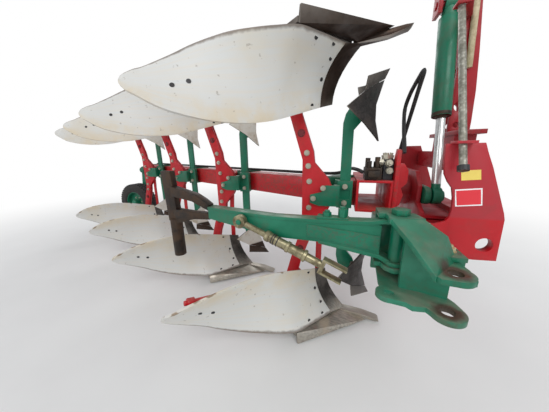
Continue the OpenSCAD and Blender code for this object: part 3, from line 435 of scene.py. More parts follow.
def galvanised(name):
    """Zinc coat with spangles and grey weathering."""
    s = Shading(name, roughness=0.5, metallic=0.55)
    cells = s.add("ShaderNodeTexVoronoi", {"Scale": 70.0})
    s.links.new(s.coords.outputs["Object"], cells.inputs["Vector"])
    base = s.mix(s.ramp(cells.outputs["Distance"], 0.1, 0.7), tone(196, 194, 182), tone(150, 148, 136))
    weather = s.ramp(s.noise(16.0, 6.0, 0.7), 0.42, 0.62, 0.0, 0.7)
    base = s.mix(weather, base, tone(112, 110, 98))
    s.bump(cells.outputs["Distance"], 0.1, 0.0008)
    return s.finish(base, s.ramp(s.noise(30.0), 0.3, 0.7, 0.4, 0.65))


def lamp_lens(name, color):
    """Moulded lens with fine bands."""
    s = Shading(name, roughness=0.18)
    wave = s.add("ShaderNodeTexWave", {"Scale": 90.0})
    s.links.new(s.coords.outputs["Object"], wave.inputs["Vector"])
    s.bump(wave.outputs["Fac"], 0.3, 0.001)
    return s.finish(s.mix(wave.outputs["Fac"], color, shaded(color, 0.8)))


MATERIALS = {}


def build_materials():
    red, green = tone(196, 18, 30), tone(8, 112, 82)
    MATERIALS.update(
        red=paint("red_paint", red, tone(206, 52, 60), 0.35, 0.22),
        mast_red=paint("mast_paint", tone(164, 12, 26), tone(184, 34, 44), 0.3, 0.2, 0.35),
        # Headstock red with painted sky light above the cheek's fold and painted shade behind its near face
        faded_red=folded_red("headstock_paint", tone(196, 16, 30), tone(182, 44, 54)),
        green=paint("green_paint", green, tone(38, 142, 110), 0.4, 0.3),
        worn_green=paint(
            "worn_green_paint", tone(10, 110, 80), tone(62, 148, 120), 0.6, 0.45, 0.9, PRESS_EYE
        ),
        cream=board_plastic("cream_plastic"),
        skimmer=skimmer("skimmer_faces", tone(214, 212, 202), tone(70, 58, 50), tone(50, 38, 30)),
        board_back=plain("soiled_board_back", tone(46, 33, 26), tone(74, 58, 46), 9.0, (0.6, 0.9)),
        steel=ground_steel(
            "worn_steel", tone(206, 200, 188), tone(172, 156, 136), 0.85, (4.0, 90.0, 90.0), tone(62, 58, 56)
        ),
        # Upper shares: dark brown that is partly soil and partly a painted reflection of dark surroundings
        soiled_steel=ground_steel("soiled_steel", tone(74, 58, 48), tone(52, 36, 28), 0.7, (5.0, 60.0, 60.0)),
        shin=ground_steel("shin_steel", tone(84, 80, 78), tone(56, 46, 40), 0.85),
        dark=plain("dark_steel", tone(48, 42, 38), tone(84, 66, 52), 12.0, (0.35, 0.7), 0.6),
        bolt=plain("black_bolts", tone(40, 40, 42), tone(70, 62, 56), 60.0, (0.35, 0.6), 0.7),
        rust=plain("dark_red_bolts", tone(96, 22, 26), tone(58, 34, 30), 60.0, (0.4, 0.7), 0.1),
        nut=plain("plated_nuts", tone(150, 146, 132), tone(96, 90, 78), 60.0, (0.35, 0.6), 0.6),
        zinc=plain("yellow_zinc", tone(168, 160, 128), tone(112, 102, 78), 26.0, (0.3, 0.55), 0.75),
        galvanised=galvanised("galvanised_tube"),
        chrome=rod_finish("chrome_rod", tone(228, 230, 228), green),
        rubber=plain("tyre_rubber", tone(34, 34, 34), tone(62, 58, 54), 30.0, (0.65, 0.9), 0.0, 0.3),
        hose=plain("hose_rubber", tone(22, 22, 23), tone(40, 38, 36), 50.0, (0.45, 0.7)),
        lens=lamp_lens("orange_reflector", tone(240, 110, 20)),
        label=plain("blank_label", tone(206, 178, 84), tone(186, 150, 62), 30.0, (0.4, 0.6)),
        white_label=plain("pale_label", tone(222, 214, 206), tone(196, 186, 176), 30.0, (0.4, 0.6)),
        red_label=plain("red_label", tone(186, 30, 42), tone(168, 24, 36), 24.0, (0.4, 0.6)),
        lath=plain("pale_lath", tone(206, 192, 158), tone(176, 160, 124), 26.0, (0.45, 0.7)),
        black=plain("black_ring", tone(24, 24, 26), tone(44, 42, 40), 30.0, (0.4, 0.6)),
    )


def smooth_by_angle(mesh_data, limit):
    """Smooth shading with creases at sharp corners."""
    bm = bmesh.new()
    bm.from_mesh(mesh_data)
    for face in bm.faces:
        face.smooth = True
    for edge in bm.edges:
        if len(edge.link_faces) == 2:
            edge.smooth = edge.calc_face_angle(0.0) < limit
    bm.to_mesh(mesh_data)
    bm.free()


def soften(bm, edges, offset, segments):
    """Rounds edges of a working mesh."""
    bmesh.ops.bevel(
        bm, geom=edges, offset=offset, segments=segments, profile=0.5, affect="EDGES", clamp_overlap=True
    )


def mesh_from(bm, name, crease=CREASE):
    """Turns a working mesh into mesh data, smooth up to the crease angle where there is one."""
    mesh_data = bpy.data.meshes.new(name)
    bm.to_mesh(mesh_data)
    bm.free()
    if crease:
        smooth_by_angle(mesh_data, crease)
    return mesh_data


def put_in_scene(name, data):
    """Makes an object of the data and links it to the scene."""
    made = bpy.data.objects.new(name, data)
    bpy.context.scene.collection.objects.link(made)
    return made


def add_piece(name, mesh_data, body, finishes):
    """Puts a mesh in the scene, in its finishes, as a piece that rides on a body."""
    piece = put_in_scene(name, mesh_data)
    mesh_data.materials.clear()
    for finish in finishes:
        mesh_data.materials.append(MATERIALS[finish])
    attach(piece, body)
    return piece


def dress(node, finish, bevel):
    """Copies a CAD node, rounds its outer edges and gives it its finish."""
    bm = bmesh.new()
    bm.from_mesh(NODES[node].data)
    bmesh.ops.remove_doubles(bm, verts=bm.verts, dist=1e-5)
    bmesh.ops.dissolve_limit(bm, angle_limit=math.radians(0.6), verts=bm.verts, edges=bm.edges)
    sharp = [
        edge for edge in bm.edges
        if len(edge.link_faces) == 2 and edge.is_convex and edge.calc_face_angle(0.0) > math.radians(38)
    ]
    if sharp and bevel > 0:
        soften(bm, sharp, bevel, 2)
    name = node + "_finish"
    piece = add_piece(name, mesh_from(bm, name), body_of(NODES[node])[0], [finish])
    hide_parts(node)


def blended(values, u):
    """Smooth curve through a list of vectors at u from 0 to 1."""
    last = len(values) - 1
    i = min(int(u * last), last - 1)
    t = u * last - i
    a, b, c, d = (values[max(0, min(last, k))] for k in (i - 1, i, i + 1, i + 2))
    bend, twist = 2 * a - 5 * b + 4 * c - d, 3 * b - a - 3 * c + d
    return 0.5 * (2 * b + (c - a) * t + bend * t * t + twist * t ** 3)


def board_point(u, t):
    """Point and backward normal on a mouldboard's working face, in layout millimetres."""
    tops = [Vector(row[0]) for row in BOARD_ROWS]
    feet = [Vector(row[1]) for row in BOARD_ROWS]
    depths = [Vector((row[2], 0, 0)) for row in BOARD_ROWS]
    middles = [(a + b) / 2 for a, b in zip(tops, feet)]
    top, foot = blended(tops, u), blended(feet, u)
    along = blended(middles, min(1.0, u + 0.02)) - blended(middles, max(0.0, u - 0.02))
    normal = along.cross(top - foot).normalized()
    return foot.lerp(top, t) + normal * 4 * t * (1 - t) * blended(depths, u).x, normal


def board_mesh(name, body, upper, thickness, steps_u=80, steps_t=18):
    """Mouldboard shell with a rounded rim; the back and the front rim use the second material."""
    bm = bmesh.new()
    uv = bm.loops.layers.uv.new("UVMap")
    where = {}
    sheets = []
    for depth in (0.0, thickness):
        grid = []
        for i in range(steps_u + 1):
            line = []
            for j in range(steps_t + 1):
                u, t = i / steps_u, j / steps_t
                point, normal = board_point(u, t)
                vertex = bm.verts.new(place(*at_body(point + normal * depth, body, upper)))
                where[vertex] = (u, t)
                line.append(vertex)
            grid.append(line)
        sheets.append(grid)
    face, back = sheets

    def quad(a, b, c, d, material):
        made = bm.faces.new((a, b, c, d) if not upper else (d, c, b, a))
        made.material_index = material
        for loop in made.loops:
            loop[uv].uv = where[loop.vert]

    for i in range(steps_u):
        for j in range(steps_t):
            quad(face[i][j], face[i + 1][j], face[i + 1][j + 1], face[i][j + 1], 0)
            quad(back[i][j], back[i][j + 1], back[i + 1][j + 1], back[i + 1][j], 1)
    for i in range(steps_u):
        quad(face[i][0], back[i][0], back[i + 1][0], face[i + 1][0], 0)
        quad(face[i][-1], face[i + 1][-1], back[i + 1][-1], back[i][-1], 0)
    for j in range(steps_t):
        quad(face[0][j], face[0][j + 1], back[0][j + 1], back[0][j], 1)
        quad(face[-1][j], back[-1][j], back[-1][j + 1], face[-1][j + 1], 0)
    bmesh.ops.recalc_face_normals(bm, faces=bm.faces)
    soften(bm, [edge for edge in bm.edges if edge.calc_face_angle(0.0) > math.radians(50)], 0.002, 2)
    return mesh_from(bm, name)


def fastener_tree(name, sides, stud):
    """Heads on points: a washer, a head with the given number of sides and, if asked for, a stud end."""
    tree = bpy.data.node_groups.new(name, "GeometryNodeTree")
    for title, kind, size in (
        ("Points", "NodeSocketGeometry", None),
        ("Across", "NodeSocketFloat", (0.03, 0.002, 0.2)),
        ("Height", "NodeSocketFloat", (0.014, 0.0005, 0.1)),
        ("Washer", "NodeSocketFloat", (0.04, 0.002, 0.3)),
        ("Finish", "NodeSocketMaterial", None),
    ):
        socket = tree.interface.new_socket(name=title, in_out="INPUT", socket_type=kind)
        if size:
            socket.default_value, socket.min_value, socket.max_value = size
    tree.interface.new_socket(name="Mesh", in_out="OUTPUT", socket_type="NodeSocketGeometry")
    links = tree.links
    given = add_node(tree, "NodeGroupInput")

    def share(size, factor):
        product = add_node(tree, "ShaderNodeMath", {1: factor})
        product.operation = "MULTIPLY"
        links.new(given.outputs[size], product.inputs[0])
        return product.outputs[0]

    def disc(size, radius, depth, vertices):
        body = add_node(tree, "GeometryNodeMeshCylinder", {"Vertices": vertices})
        links.new(share(size, radius), body.inputs["Radius"])
        links.new(share("Height", depth), body.inputs["Depth"])
        where = add_node(tree, "ShaderNodeCombineXYZ")
        links.new(share("Height", depth / 2), where.inputs["Z"])
        shift = add_node(tree, "GeometryNodeTransform")
        wire(tree, ((body, "Mesh", shift, "Geometry"), (where, "Vector", shift, "Translation")))
        return shift.outputs["Geometry"]

    join = add_node(tree, "GeometryNodeJoinGeometry")
    links.new(disc("Across", 0.5774 if sides == 6 else 0.5, 1.0, sides), join.inputs[0])
    links.new(disc("Washer", 0.5, 0.22, 24), join.inputs[0])
    if stud:
        links.new(disc("Across", 0.3, 1.5, 14), join.inputs[0])
    facing = add_node(tree, "GeometryNodeInputNamedAttribute", {"Name": "facing"})
    facing.data_type = "FLOAT_VECTOR"
    align = add_node(tree, "FunctionNodeAlignRotationToVector")
    align.axis = "Z"
    turn = add_node(tree, "FunctionNodeRandomValue")
    turn.data_type = "FLOAT"
    turn.inputs["Max"].default_value = math.tau
    turn.inputs["Seed"].default_value = 7
    spin = add_node(tree, "FunctionNodeAxisAngleToRotation", {"Axis": (0, 0, 1)})
    both = add_node(tree, "FunctionNodeRotateRotation")
    both.rotation_space = "LOCAL"
    scatter = add_node(tree, "GeometryNodeInstanceOnPoints")
    realize = add_node(tree, "GeometryNodeRealizeInstances")
    finish = add_node(tree, "GeometryNodeSetMaterial")
    wire(tree, (
        (facing, "Attribute", align, "Vector"),
        (turn, 1, spin, "Angle"),
        (align, "Rotation", both, "Rotation"),
        (spin, "Rotation", both, "Rotate By"),
        (given, "Points", scatter, "Points"),
        (join, 0, scatter, "Instance"),
        (both, "Rotation", scatter, "Rotation"),
        (scatter, "Instances", realize, "Geometry"),
        (realize, "Geometry", finish, "Geometry"),
        (given, "Finish", finish, "Material"),
        (finish, "Geometry", add_node(tree, "NodeGroupOutput"), 0),
    ))
    return tree


def scatter_mesh(name, tree, points, values):
    """Runs a tree on points given as (place, facing) and returns the plain mesh."""
    seeds = bpy.data.meshes.new(name + "_points")
    seeds.from_pydata([tuple(point) for point, _ in points], [], [])
    facing = seeds.attributes.new("facing", "FLOAT_VECTOR", "POINT")
    facing.data.foreach_set("vector", [c for _, normal in points for c in normal])
    carrier = put_in_scene(name + "_points", seeds)
    modifier = carrier.modifiers.new("Fasteners", "NODES")
    modifier.node_group = tree
    for item in tree.interface.items_tree:
        if item.item_type == "SOCKET" and item.in_out == "INPUT" and item.name in values:
            modifier[item.identifier] = values[item.name]
    carrier.update_tag()
    bpy.context.view_layer.update()
    graph = bpy.context.evaluated_depsgraph_get()
    mesh_data = bpy.data.meshes.new_from_object(carrier.evaluated_get(graph))
    mesh_data.name = name
    bpy.data.objects.remove(carrier)
    bpy.data.meshes.remove(seeds)
    return mesh_data


def add_fasteners(name, points, body, sizes, finish, sides=6, stud=True):
    """Bolt heads or nuts at (layout point, facing) pairs; sizes are across, height and washer."""
    kind = f"heads_{sides}_{stud}"
    tree = bpy.data.node_groups.get(kind) or fastener_tree(kind, sides, stud)
    values = {title: size / 1000 for title, size in zip(("Across", "Height", "Washer"), sizes)}
    places = [(place(*point), Vector(facing).normalized()) for point, facing in points]
    made = scatter_mesh(name, tree, places, {**values, "Finish": MATERIALS[finish]})
    smooth_by_angle(made, CREASE)
    add_piece(name, made, body, [finish])


def lathe(name, profile, start, end, steps, body, finish):
    """Turns a profile of (distance along, radius) about the line from start to end, in layout millimetres."""
    a, b = Vector(start), Vector(end)
    line = (b - a).normalized()
    side = line.orthogonal().normalized()
    other = line.cross(side)
    bm = bmesh.new()
    rings = []
    for along, radius in profile:
        centre = a + line * along
        if radius <= 0:
            rings.append([bm.verts.new(place(*centre))])
            continue
        ring = []
        for k in range(steps):
            angle = k * math.tau / steps
            spoke = side * math.cos(angle) + other * math.sin(angle)
            ring.append(bm.verts.new(place(*(centre + spoke * radius))))
        rings.append(ring)
    for first, second in zip(rings, rings[1:]):
        for k in range(steps):
            n = (k + 1) % steps
            corners = [first[k % len(first)], first[n % len(first)]]
            corners += [second[n % len(second)], second[k % len(second)]]
            bm.faces.new(list(dict.fromkeys(corners)))
    if len(rings[0]) > 1:
        bm.faces.new(rings[0][::-1])
    if len(rings[-1]) > 1:
        bm.faces.new(rings[-1])
    bmesh.ops.recalc_face_normals(bm, faces=bm.faces)
    add_piece(name, mesh_from(bm, name, math.radians(38)), body, [finish])


def slab(name, corners, normal, thickness, body, finish):
    """Thin plate with the given outline, raised from a surface along its normal, in layout millimetres."""
    bm = bmesh.new()
    lift = Vector(normal).normalized() * thickness
    low = [bm.verts.new(place(*c)) for c in corners]
    high = [bm.verts.new(place(*(Vector(c) + lift))) for c in corners]
    bm.faces.new(low)
    bm.faces.new(high[::-1])
    for k in range(len(corners)):
        n = (k + 1) % len(corners)
        bm.faces.new((low[k], low[n], high[n], high[k]))
    bmesh.ops.recalc_face_normals(bm, faces=bm.faces)
    soften(bm, list(bm.edges), min(0.0012, thickness / 4000), 1)
    add_piece(name, mesh_from(bm, name, None), body, [finish])


def around_axle(radius, angle, off):
    """Layout point at an angle round the depth wheel's axle and off the wheel's middle."""
    return WHEEL.x + radius * math.cos(angle), WHEEL.y + off, WHEEL.z + radius * math.sin(angle)


def tyre_mesh(base, turns=96):
    """Closed section of the tyre turned about the axle; base is the radius between the tread blocks."""
    outer = (
        (16, RIM_RADIUS), (2, RIM_RADIUS + 16), (0, RIM_RADIUS + 32), (1, RIM_RADIUS + 60),
        (8, TYRE_RADIUS - 22), (22, TYRE_RADIUS - 8),
        (40, base), (70, base), (74, base - 5), (80, base - 5), (84, base),
    )
    section = list(outer) + [(2 * TYRE_HALF - a, r) for a, r in reversed(outer)]
    section += [(2 * TYRE_HALF - 30, RIM_RADIUS + 0.5), (30, RIM_RADIUS + 0.5)]
    bm = bmesh.new()
    rings = [
        [bm.verts.new(place(*around_axle(r, k * math.tau / turns, a - TYRE_HALF))) for a, r in section]
        for k in range(turns)
    ]
    for here, there in zip(rings, rings[1:] + rings[:1]):
        for i in range(len(section)):
            j = (i + 1) % len(section)
            bm.faces.new((here[i], here[j], there[j], there[i]))
    bmesh.ops.recalc_face_normals(bm, faces=bm.faces)
    return mesh_from(bm, "wheel_tyre_carcass", math.radians(40))


def tread_mesh(count):
    """Rows of blocks round the tyre, narrower at their tops and drawn in at the shoulders."""
    bm = bmesh.new()
    wide = math.tau / count * 0.36
    for low, high, shift, drop in TREAD_ROWS:
        for k in range(count):
            mid = (k + shift) * math.tau / count
            corners = []
            for radius, grow in ((TYRE_RADIUS - drop - 6, 1.0), (TYRE_RADIUS - 0.4, 0.86)):
                for side, skew in ((low, -0.25), (high, 0.25)):
                    shoulder = abs(side) > 80 and radius > TYRE_RADIUS - 3
                    off = side - math.copysign(5 if shoulder else 0, side)
                    for turn in (-1, 1):
                        angle = mid + turn * wide * grow + skew * wide
                        corners.append(bm.verts.new(place(*around_axle(radius, angle, off))))
            for face in BLOCK_FACES:
                bm.faces.new([corners[i] for i in face])
    bmesh.ops.recalc_face_normals(bm, faces=bm.faces)
    soften(bm, list(bm.edges), 0.0012, 1)
    return mesh_from(bm, "tread_blocks", None)


class PloughSettings(bpy.types.PropertyGroup):
    """Sizes and tones that change the finish and the studio."""

    edge_round: FloatProperty(
        name="Edge rounding", description="Radius on the outer edges of plates",
        default=0.0025, min=0.0, max=0.01, unit="LENGTH",
    )
    board_gauge: FloatProperty(
        name="Board thickness", description="Thickness of a mouldboard",
        default=0.0135, min=0.005, max=0.014, unit="LENGTH",
    )
    bolt_across: FloatProperty(
        name="Leg bolt size", description="Size of a leg bolt across its flats",
        default=0.027, min=0.01, max=0.06, unit="LENGTH",
    )
    tread_blocks: IntProperty(
        name="Tread blocks", description="Blocks round the tyre in each row", default=44, min=12, max=90
    )
    tread_depth: FloatProperty(
        name="Tread depth", description="Height of a tread block",
        default=0.008, min=0.002, max=0.02, unit="LENGTH",
    )
    floor_tint: FloatVectorProperty(
        name="Floor", description="Colour of the studio floor",
        default=(0.82, 0.82, 0.81), size=3, subtype="COLOR", min=0.0, max=1.0,
    )
    lens_length: FloatProperty(
        name="Lens", description="Focal length of the camera in millimetres", default=14.17, min=5.0, max=80.0
    )


class PLOUGH_OT_painted_frames(bpy.types.Operator):
    """Rounds the frames, legs, arms, tubes and cylinder and gives each its paint or metal"""

    bl_idname = "plough.painted_frames"
    bl_label = "Painted frames"

    def execute(self, context):
        radius = context.scene.plough.edge_round
        groups = [
            # The headstock red carries painted sky light above the fold and painted shade inside
            ("faded_red", "red_paint", "headstock_frame"),
            ("mast_red", "red_paint", "mast mast_head"),
            ("red", "red_paint", "front_frame main_beam"),
            ("green", "green_paint", "turnover_shaft"),
            ("worn_green", "green_paint", "press_bracket"),
            ("green", "green_paint", "press_arm wheel_bracket wheel_arm wheel_rim cylinder_barrel"),
            ("chrome", "chrome", "cylinder_rod"),
            ("dark", "dark_steel", "press_catch"),
            ("zinc", "zinc", "turnbuckle"),
            ("galvanised", "zinc", "mast_tube"),
            ("lath", "cream_plastic", "mast_lath"),
            ("dark", "dark_steel", "hydraulic_valve"),
        ]
        for k in BODIES:
            groups += [("red", "red_paint", f"leg_{k}"), ("green", "green_paint", f"skim_stem_{k}")]
        for finish, slot, nodes in groups:
            for node in nodes.split():
                dress(node, finish, radius)
        return {"FINISHED"}


class PLOUGH_OT_mouldboards(bpy.types.Operator):
    """Makes the eight smooth mouldboards with stained faces and dark backs"""

    bl_idname = "plough.mouldboards"
    bl_label = "Mouldboards"

    def execute(self, context):
        gauge = context.scene.plough.board_gauge * 1000
        for k in BODIES:
            for upper in (False, True):
                node = f"mouldboard_{'upper' if upper else 'lower'}_{k}"
                mesh_data = board_mesh(node + "_face", k, upper, gauge)
                finishes = ["cream", "board_back"]
                piece = add_piece(node + "_face", mesh_data, "plough_frame", finishes)
                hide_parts(node)
        return {"FINISHED"}


class PLOUGH_OT_shares(bpy.types.Operator):
    """Rounds and scours the shares, points and skimmer bodies"""

    bl_idname = "plough.shares"
    bl_label = "Shares and skimmers"

    def execute(self, context):
        for k in BODIES:
            # The upper shares' dark steel is partly soil and partly painted reflection
            for half, finish in (("lower", "steel"), ("upper", "soiled_steel")):
                dress(f"share_{half}_{k}", finish, 0.0015)
            dress(f"skim_blades_{k}", "shin" if k == 1 else "skimmer", 0.0015)
        return {"FINISHED"}


class PLOUGH_OT_board_bolts(bpy.types.Operator):
    """Sets low round bolt heads into the mouldboards' faces"""

    bl_idname = "plough.board_bolts"
    bl_label = "Mouldboard bolts"

    def execute(self, context):
        points = []
        spots = [board_point(i / 40, j / 16) for i in range(41) for j in range(17)]
        for bolt in BOARD_BOLTS:
            spot, normal = min(spots, key=lambda found: (found[0] - Vector(bolt)).length)
            for k in BODIES:
                for upper in (False, True):
                    facing = Vector((-normal.x, -normal.y, normal.z if upper else -normal.z))
                    points.append((at_body(spot + normal, k, upper), facing))
        add_fasteners("board_bolts", points, "plough_frame", (20, 2.4, 17), "bolt", sides=24, stud=False)
        return {"FINISHED"}


class PLOUGH_OT_leg_bolts(bpy.types.Operator):
    """Bolts on the legs and the skimmer clamps"""

    bl_idname = "plough.leg_bolts"
    bl_label = "Leg and clamp bolts"

    def execute(self, context):
        across = context.scene.plough.bolt_across * 1000
        top, near, clamp = [], [], []
        for k in BODIES:
            for x, rise in LEG_BOLTS:
                for sign in (1, -1):
                    chosen = top if rise > 300 else near
                    chosen.append((at_body((x, LEG_NEAR, AXIS_Z + sign * rise), k), (0, -1, 0)))
                    near.append((at_body((x, LEG_FAR, AXIS_Z + sign * rise), k), (0, 1, 0)))
            for x, y, rise in CLAMP_BOLTS:
                clamp.append((at_body((x, y, AXIS_Z + rise), k), (0, -1, 0)))
            for rise in (-62, 62):
                spot = along_beam(304, -HALF_BEAM - 20, AXIS_Z + rise)
                clamp.append((at_body(spot, k), along_beam(0, -1, 0)))
                for u in (210, 300):
                    spot = along_beam(u, HALF_BEAM + 20.2, AXIS_Z + rise)
                    clamp.append((at_body(spot, k), along_beam(0, 1, 0)))
        for name, spots, sizes, finish in (
            ("leg_bolts", near, (across, 11, across * 1.3), "nut"),
            ("leg_foot_bolts", top, (across * 1.2, 9, across * 1.7), "rust"),
            ("clamp_bolts", clamp, (27, 13, 34), "nut"),
        ):
            add_fasteners(name, spots, "plough_frame", sizes, finish)
        return {"FINISHED"}


class PLOUGH_OT_wheel(bpy.types.Operator):
    """Tyre with four rows of tread blocks, wheel nuts and hub cap"""

    bl_idname = "plough.wheel"
    bl_label = "Depth wheel"

    def execute(self, context):
        settings = context.scene.plough
        mesh_data = tyre_mesh(TYRE_RADIUS - settings.tread_depth * 1000)
        carcass = add_piece("wheel_tyre_carcass", mesh_data, "wheel", ["rubber"])
        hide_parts("wheel_tyre")
        add_piece("tread_blocks", tread_mesh(settings.tread_blocks), "wheel", ["rubber"])
        nuts = [
            (around_axle(76, k * math.tau / 6, side * 8.2), (0, side, 0))
            for k in range(6) for side in (-1, 1)
        ]
        add_fasteners("wheel_nuts", nuts, "wheel", (22, 12, 28), "nut")
        cap = ((0, 46), (4, 46), (12, 40), (16, 22), (17, 0))
        inner, outer = (WHEEL - Vector((0, reach, 0)) for reach in (90, 107))
        lathe("hub_cap", cap, inner, outer, 40, "wheel", "green")
        return {"FINISHED"}


class PLOUGH_OT_cylinder(bpy.types.Operator):
    """Gland ring at the end of the turnover cylinder's barrel"""

    bl_idname = "plough.cylinder"
    bl_label = "Turnover cylinder"

    def execute(self, context):
        lean = math.atan(CRANK_RADIUS / (CYLINDER_PIN.z - AXIS_Z))
        down = Vector((0, -math.sin(lean), -math.cos(lean)))
        foot = CYLINDER_PIN + down * GLAND_REACH
        ring = ((0, 47.5), (16, 48), (20, 46), (21, 29), (26, 25), (34, 24.6))
        lathe("barrel_gland", ring, foot, foot + down * 20, 64, "barrel", "dark")
        return {"FINISHED"}


class PLOUGH_OT_turnbuckle(bpy.types.Operator):
    """Sleeve of the turnbuckle with its collars and three ties"""

    bl_idname = "plough.turnbuckle"
    bl_label = "Turnbuckle"

    def execute(self, context):
        c, s = math.cos(ARM_SLANT), math.sin(ARM_SLANT)
        level = math.cos(TURNBUCKLE_LEAN)
        out = Vector((level * c, level * s, -math.sin(TURNBUCKLE_LEAN)))
        x, y = ARM_PIVOT
        behind, across, height = TURNBUCKLE_EYE
        eye = Vector((x - behind * c + across * s, y - behind * s - across * c, height))
        for index, (spot, size) in enumerate(((214, 29.5), (226, 30), (246, 29.5))):
            band = ((spot, 25), (spot, size), (spot + 5, size), (spot + 5, 25))
            lathe(f"turnbuckle_tie_{index}", band, eye, eye + out, 24, "press_arm", "black")
        sleeve = (
            (40, 17), (170, 17), (171, 27), (178, 31), (196, 31), (200, 27), (300, 26), (303, 31),
            (318, 31), (320, 26), (398, 26), (402, 33), (416, 33), (420, 22), (498, 21),
        )
        lathe("turnbuckle_sleeve", sleeve, eye, eye + out * 500, 32, "press_arm", "zinc")
        return {"FINISHED"}


class PLOUGH_OT_hoses(bpy.types.Operator):
    """Smooth hose along the beam and smooth hose looped up from the valve block"""

    bl_idname = "plough.hoses"
    bl_label = "Hoses"

    def execute(self, context):
        for node in ("hose_beam", "hose_loop"):
            dress(node, "hose", 0.0)
        return {"FINISHED"}


class PLOUGH_OT_trim(bpy.types.Operator):
    """Reflector, blank labels, tube ring, fittings of the hydraulic block and press plate bolts"""

    bl_idname = "plough.trim"
    bl_label = "Reflector and labels"

    def execute(self, context):
        outline = ((-1640, 918), (-1556, 918), (-1556, 854), (-1640, 854))
        corners = [along_beam(u, -HALF_BEAM - 0.4, z) for u, z in outline]
        slab("beam_reflector", corners, along_beam(0, -1, 0), 7, "plough_frame", "lens")
        for name, thickness, finish, outline in (
            ("cheek_strip", 0.8, "label", ((779, 1015), (855, 1020), (863, 974), (787, 968))),
            ("cheek_square", 0.8, "white_label", ((769, 924), (875, 935), (889, 851), (782, 840))),
            ("cheek_square_field", 1.4, "red_label", ((774, 918), (870, 928), (883, 857), (788, 846))),
        ):
            corners = [(x, CHEEK_FACE, z) for x, z in outline]
            slab(name, corners, (0, -1, 0), thickness, "headstock", finish)
        ring = ((0, 17), (0, 22.6), (24, 22.6), (26, 17))
        lathe("tube_ring", ring, TUBE_FOOT, TUBE_TOP, 24, "headstock", "black")
        corners = [(x, y, BOX_TOP) for x, y in ((470, -300), (521, -300), (521, -212), (470, -212))]
        slab("manifold_riser", corners, (0, 0, 1), 118, "plough_frame", "bolt")
        fittings = (
            ((470, -282, 1045), (-1, 0, 0.2)), ((470, -238, 1030), (-1, 0, 0.35)),
            ((470, -262, 1000), (-1, 0.2, 0)), ((492, -300, 1040), (0.2, -1, 0.2)),
            ((500, -300, 1000), (0, -1, 0)), ((484, -284, 1063), (0, 0, 1)),
            ((506, -252, 1063), (0.2, 0, 1)), ((486, -228, 1063), (-0.2, 0.1, 1)),
        )
        add_fasteners("manifold_fittings", fittings, "plough_frame", (32, 24, 38), "nut")
        plate = [((672, y, 715), (0, 0, 1)) for y in (-600, -715)]
        add_fasteners("press_plate_bolts", plate, "plough_frame", (36, 20, 50), "zinc")
        return {"FINISHED"}


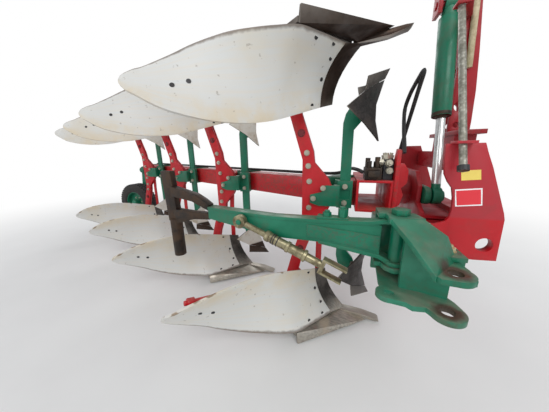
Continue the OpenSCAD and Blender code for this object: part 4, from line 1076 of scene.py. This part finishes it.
class PLOUGH_OT_studio(bpy.types.Operator):
    """Pale floor and sky, soft lamps and the camera"""

    bl_idname = "plough.studio"
    bl_label = "Studio"

    def execute(self, context):
        scene = context.scene
        settings = scene.plough
        floor_data = bpy.data.meshes.new("studio_floor")
        reach = 30.0
        corners = [(x * reach, y * reach, -0.012) for x, y in ((-1, -1), (1, -1), (1, 1), (-1, 1))]
        floor_data.from_pydata(corners, [], [(0, 1, 2, 3)])
        floor = put_in_scene("studio_floor", floor_data)
        s = Shading("studio_floor", roughness=0.75)
        tint = tuple(settings.floor_tint) + (1.0,)
        shade = shaded(settings.floor_tint, 0.96)
        floor_finish = s.finish(s.mix(s.ramp(s.noise(1.2, 4.0), 0.3, 0.7), tint, shade))
        reached = s.add("ShaderNodeVectorMath")
        reached.operation = "LENGTH"
        s.links.new(s.coords.outputs["Object"], reached.inputs[0])
        seen = s.add("ShaderNodeLightPath")
        fade = s.math("MULTIPLY", s.ramp(reached.outputs["Value"], 1.5, 6.0), seen.outputs["Is Camera Ray"])
        glow = s.add("ShaderNodeEmission", {"Color": (1.0, 1.0, 1.0, 1.0)})
        blend = s.add("ShaderNodeMixShader")
        s.links.new(fade, blend.inputs["Fac"])
        wire(s.tree, (
            (s.shader, "BSDF", blend, 1),
            (glow, "Emission", blend, 2),
            (blend, "Shader", s.tree.nodes["Material Output"], "Surface"),
        ))
        floor_data.materials.append(floor_finish)

        world = bpy.data.worlds.new("studio_sky")
        scene.world = world
        world.use_nodes = True
        tree = world.node_tree
        soft = tree.nodes["Background"]
        soft.inputs["Color"].default_value = (0.94, 0.96, 1.0, 1.0)
        soft.inputs["Strength"].default_value = 0.55
        white = add_node(tree, "ShaderNodeBackground", {"Color": (1.0, 1.0, 1.0, 1.0), "Strength": 1.0})
        path = add_node(tree, "ShaderNodeLightPath")
        either = add_node(tree, "ShaderNodeMath")
        either.operation = "MAXIMUM"
        mix = add_node(tree, "ShaderNodeMixShader")
        wire(tree, (
            (path, "Is Camera Ray", either, 0),
            (path, "Is Transmission Ray", either, 1),
            (either, 0, mix, "Fac"),
            (soft, 0, mix, 1),
            (white, 0, mix, 2),
            (mix, 0, tree.nodes["World Output"], "Surface"),
        ))

        lamps = (
            ("key_lamp", (4.5, -6.5, 7.0), (0.2, 0.0, 0.8), 6.0, 350.0),
            ("fill_lamp", (-6.0, -7.0, 4.5), (-0.5, 0.0, 0.6), 7.0, 190.0),
            ("rim_lamp", (-2.0, 7.5, 6.0), (0.0, 0.0, 1.0), 6.0, 170.0),
        )
        for name, spot, aim, size, power in lamps:
            data = bpy.data.lights.new(name, "AREA")
            data.size = size
            data.energy = power
            lamp = put_in_scene(name, data)
            lamp.location = spot
            lamp.rotation_euler = (Vector(aim) - Vector(spot)).to_track_quat("-Z", "Y").to_euler()

        heading, pitch, roll = CAMERA_TURNS
        level = math.cos(pitch)
        forward = Vector((math.cos(heading) * level, math.sin(heading) * level, -math.sin(pitch)))
        right = Vector((math.sin(heading), -math.cos(heading), 0.0))
        below = forward.cross(right)
        tilted = right * math.cos(roll) + below * math.sin(roll)
        below = below * math.cos(roll) - right * math.sin(roll)
        turned = Matrix((tilted, -below, -forward)).transposed().to_4x4()
        turned.translation = place(*CAMERA_PLACE)
        data = bpy.data.cameras.new("studio_camera")
        data.sensor_width = 36.0
        data.lens = settings.lens_length
        data.clip_start, data.clip_end = 0.02, 200.0
        camera = put_in_scene("studio_camera", data)
        camera.matrix_world = turned
        scene.camera = camera
        scene.view_settings.view_transform = "Standard"
        return {"FINISHED"}


class PLOUGH_PT_panel(bpy.types.Panel):
    """Lists the plough's finishing steps"""

    bl_idname = "PLOUGH_PT_panel"
    bl_label = "Plough"
    bl_space_type = "VIEW_3D"
    bl_region_type = "UI"
    bl_category = "Plough"

    def draw(self, context):
        for name in PloughSettings.__annotations__:
            self.layout.prop(context.scene.plough, name)
        for step in STEPS:
            self.layout.operator(step.bl_idname)


STEPS = (
    PLOUGH_OT_painted_frames,
    PLOUGH_OT_mouldboards,
    PLOUGH_OT_shares,
    PLOUGH_OT_board_bolts,
    PLOUGH_OT_leg_bolts,
    PLOUGH_OT_wheel,
    PLOUGH_OT_cylinder,
    PLOUGH_OT_turnbuckle,
    PLOUGH_OT_hoses,
    PLOUGH_OT_trim,
    PLOUGH_OT_studio,
)
CLASSES = (PloughSettings, *STEPS, PLOUGH_PT_panel)


def register():
    for made in CLASSES:
        bpy.utils.register_class(made)
    bpy.types.Scene.plough = PointerProperty(type=PloughSettings)


def unregister():
    del bpy.types.Scene.plough
    for made in reversed(CLASSES):
        bpy.utils.unregister_class(made)


def main():
    register()
    build_materials()
    for step in STEPS:
        group, name = step.bl_idname.split(".")
        getattr(getattr(bpy.ops, group), name)()


if __name__ == "__main__":
    main()
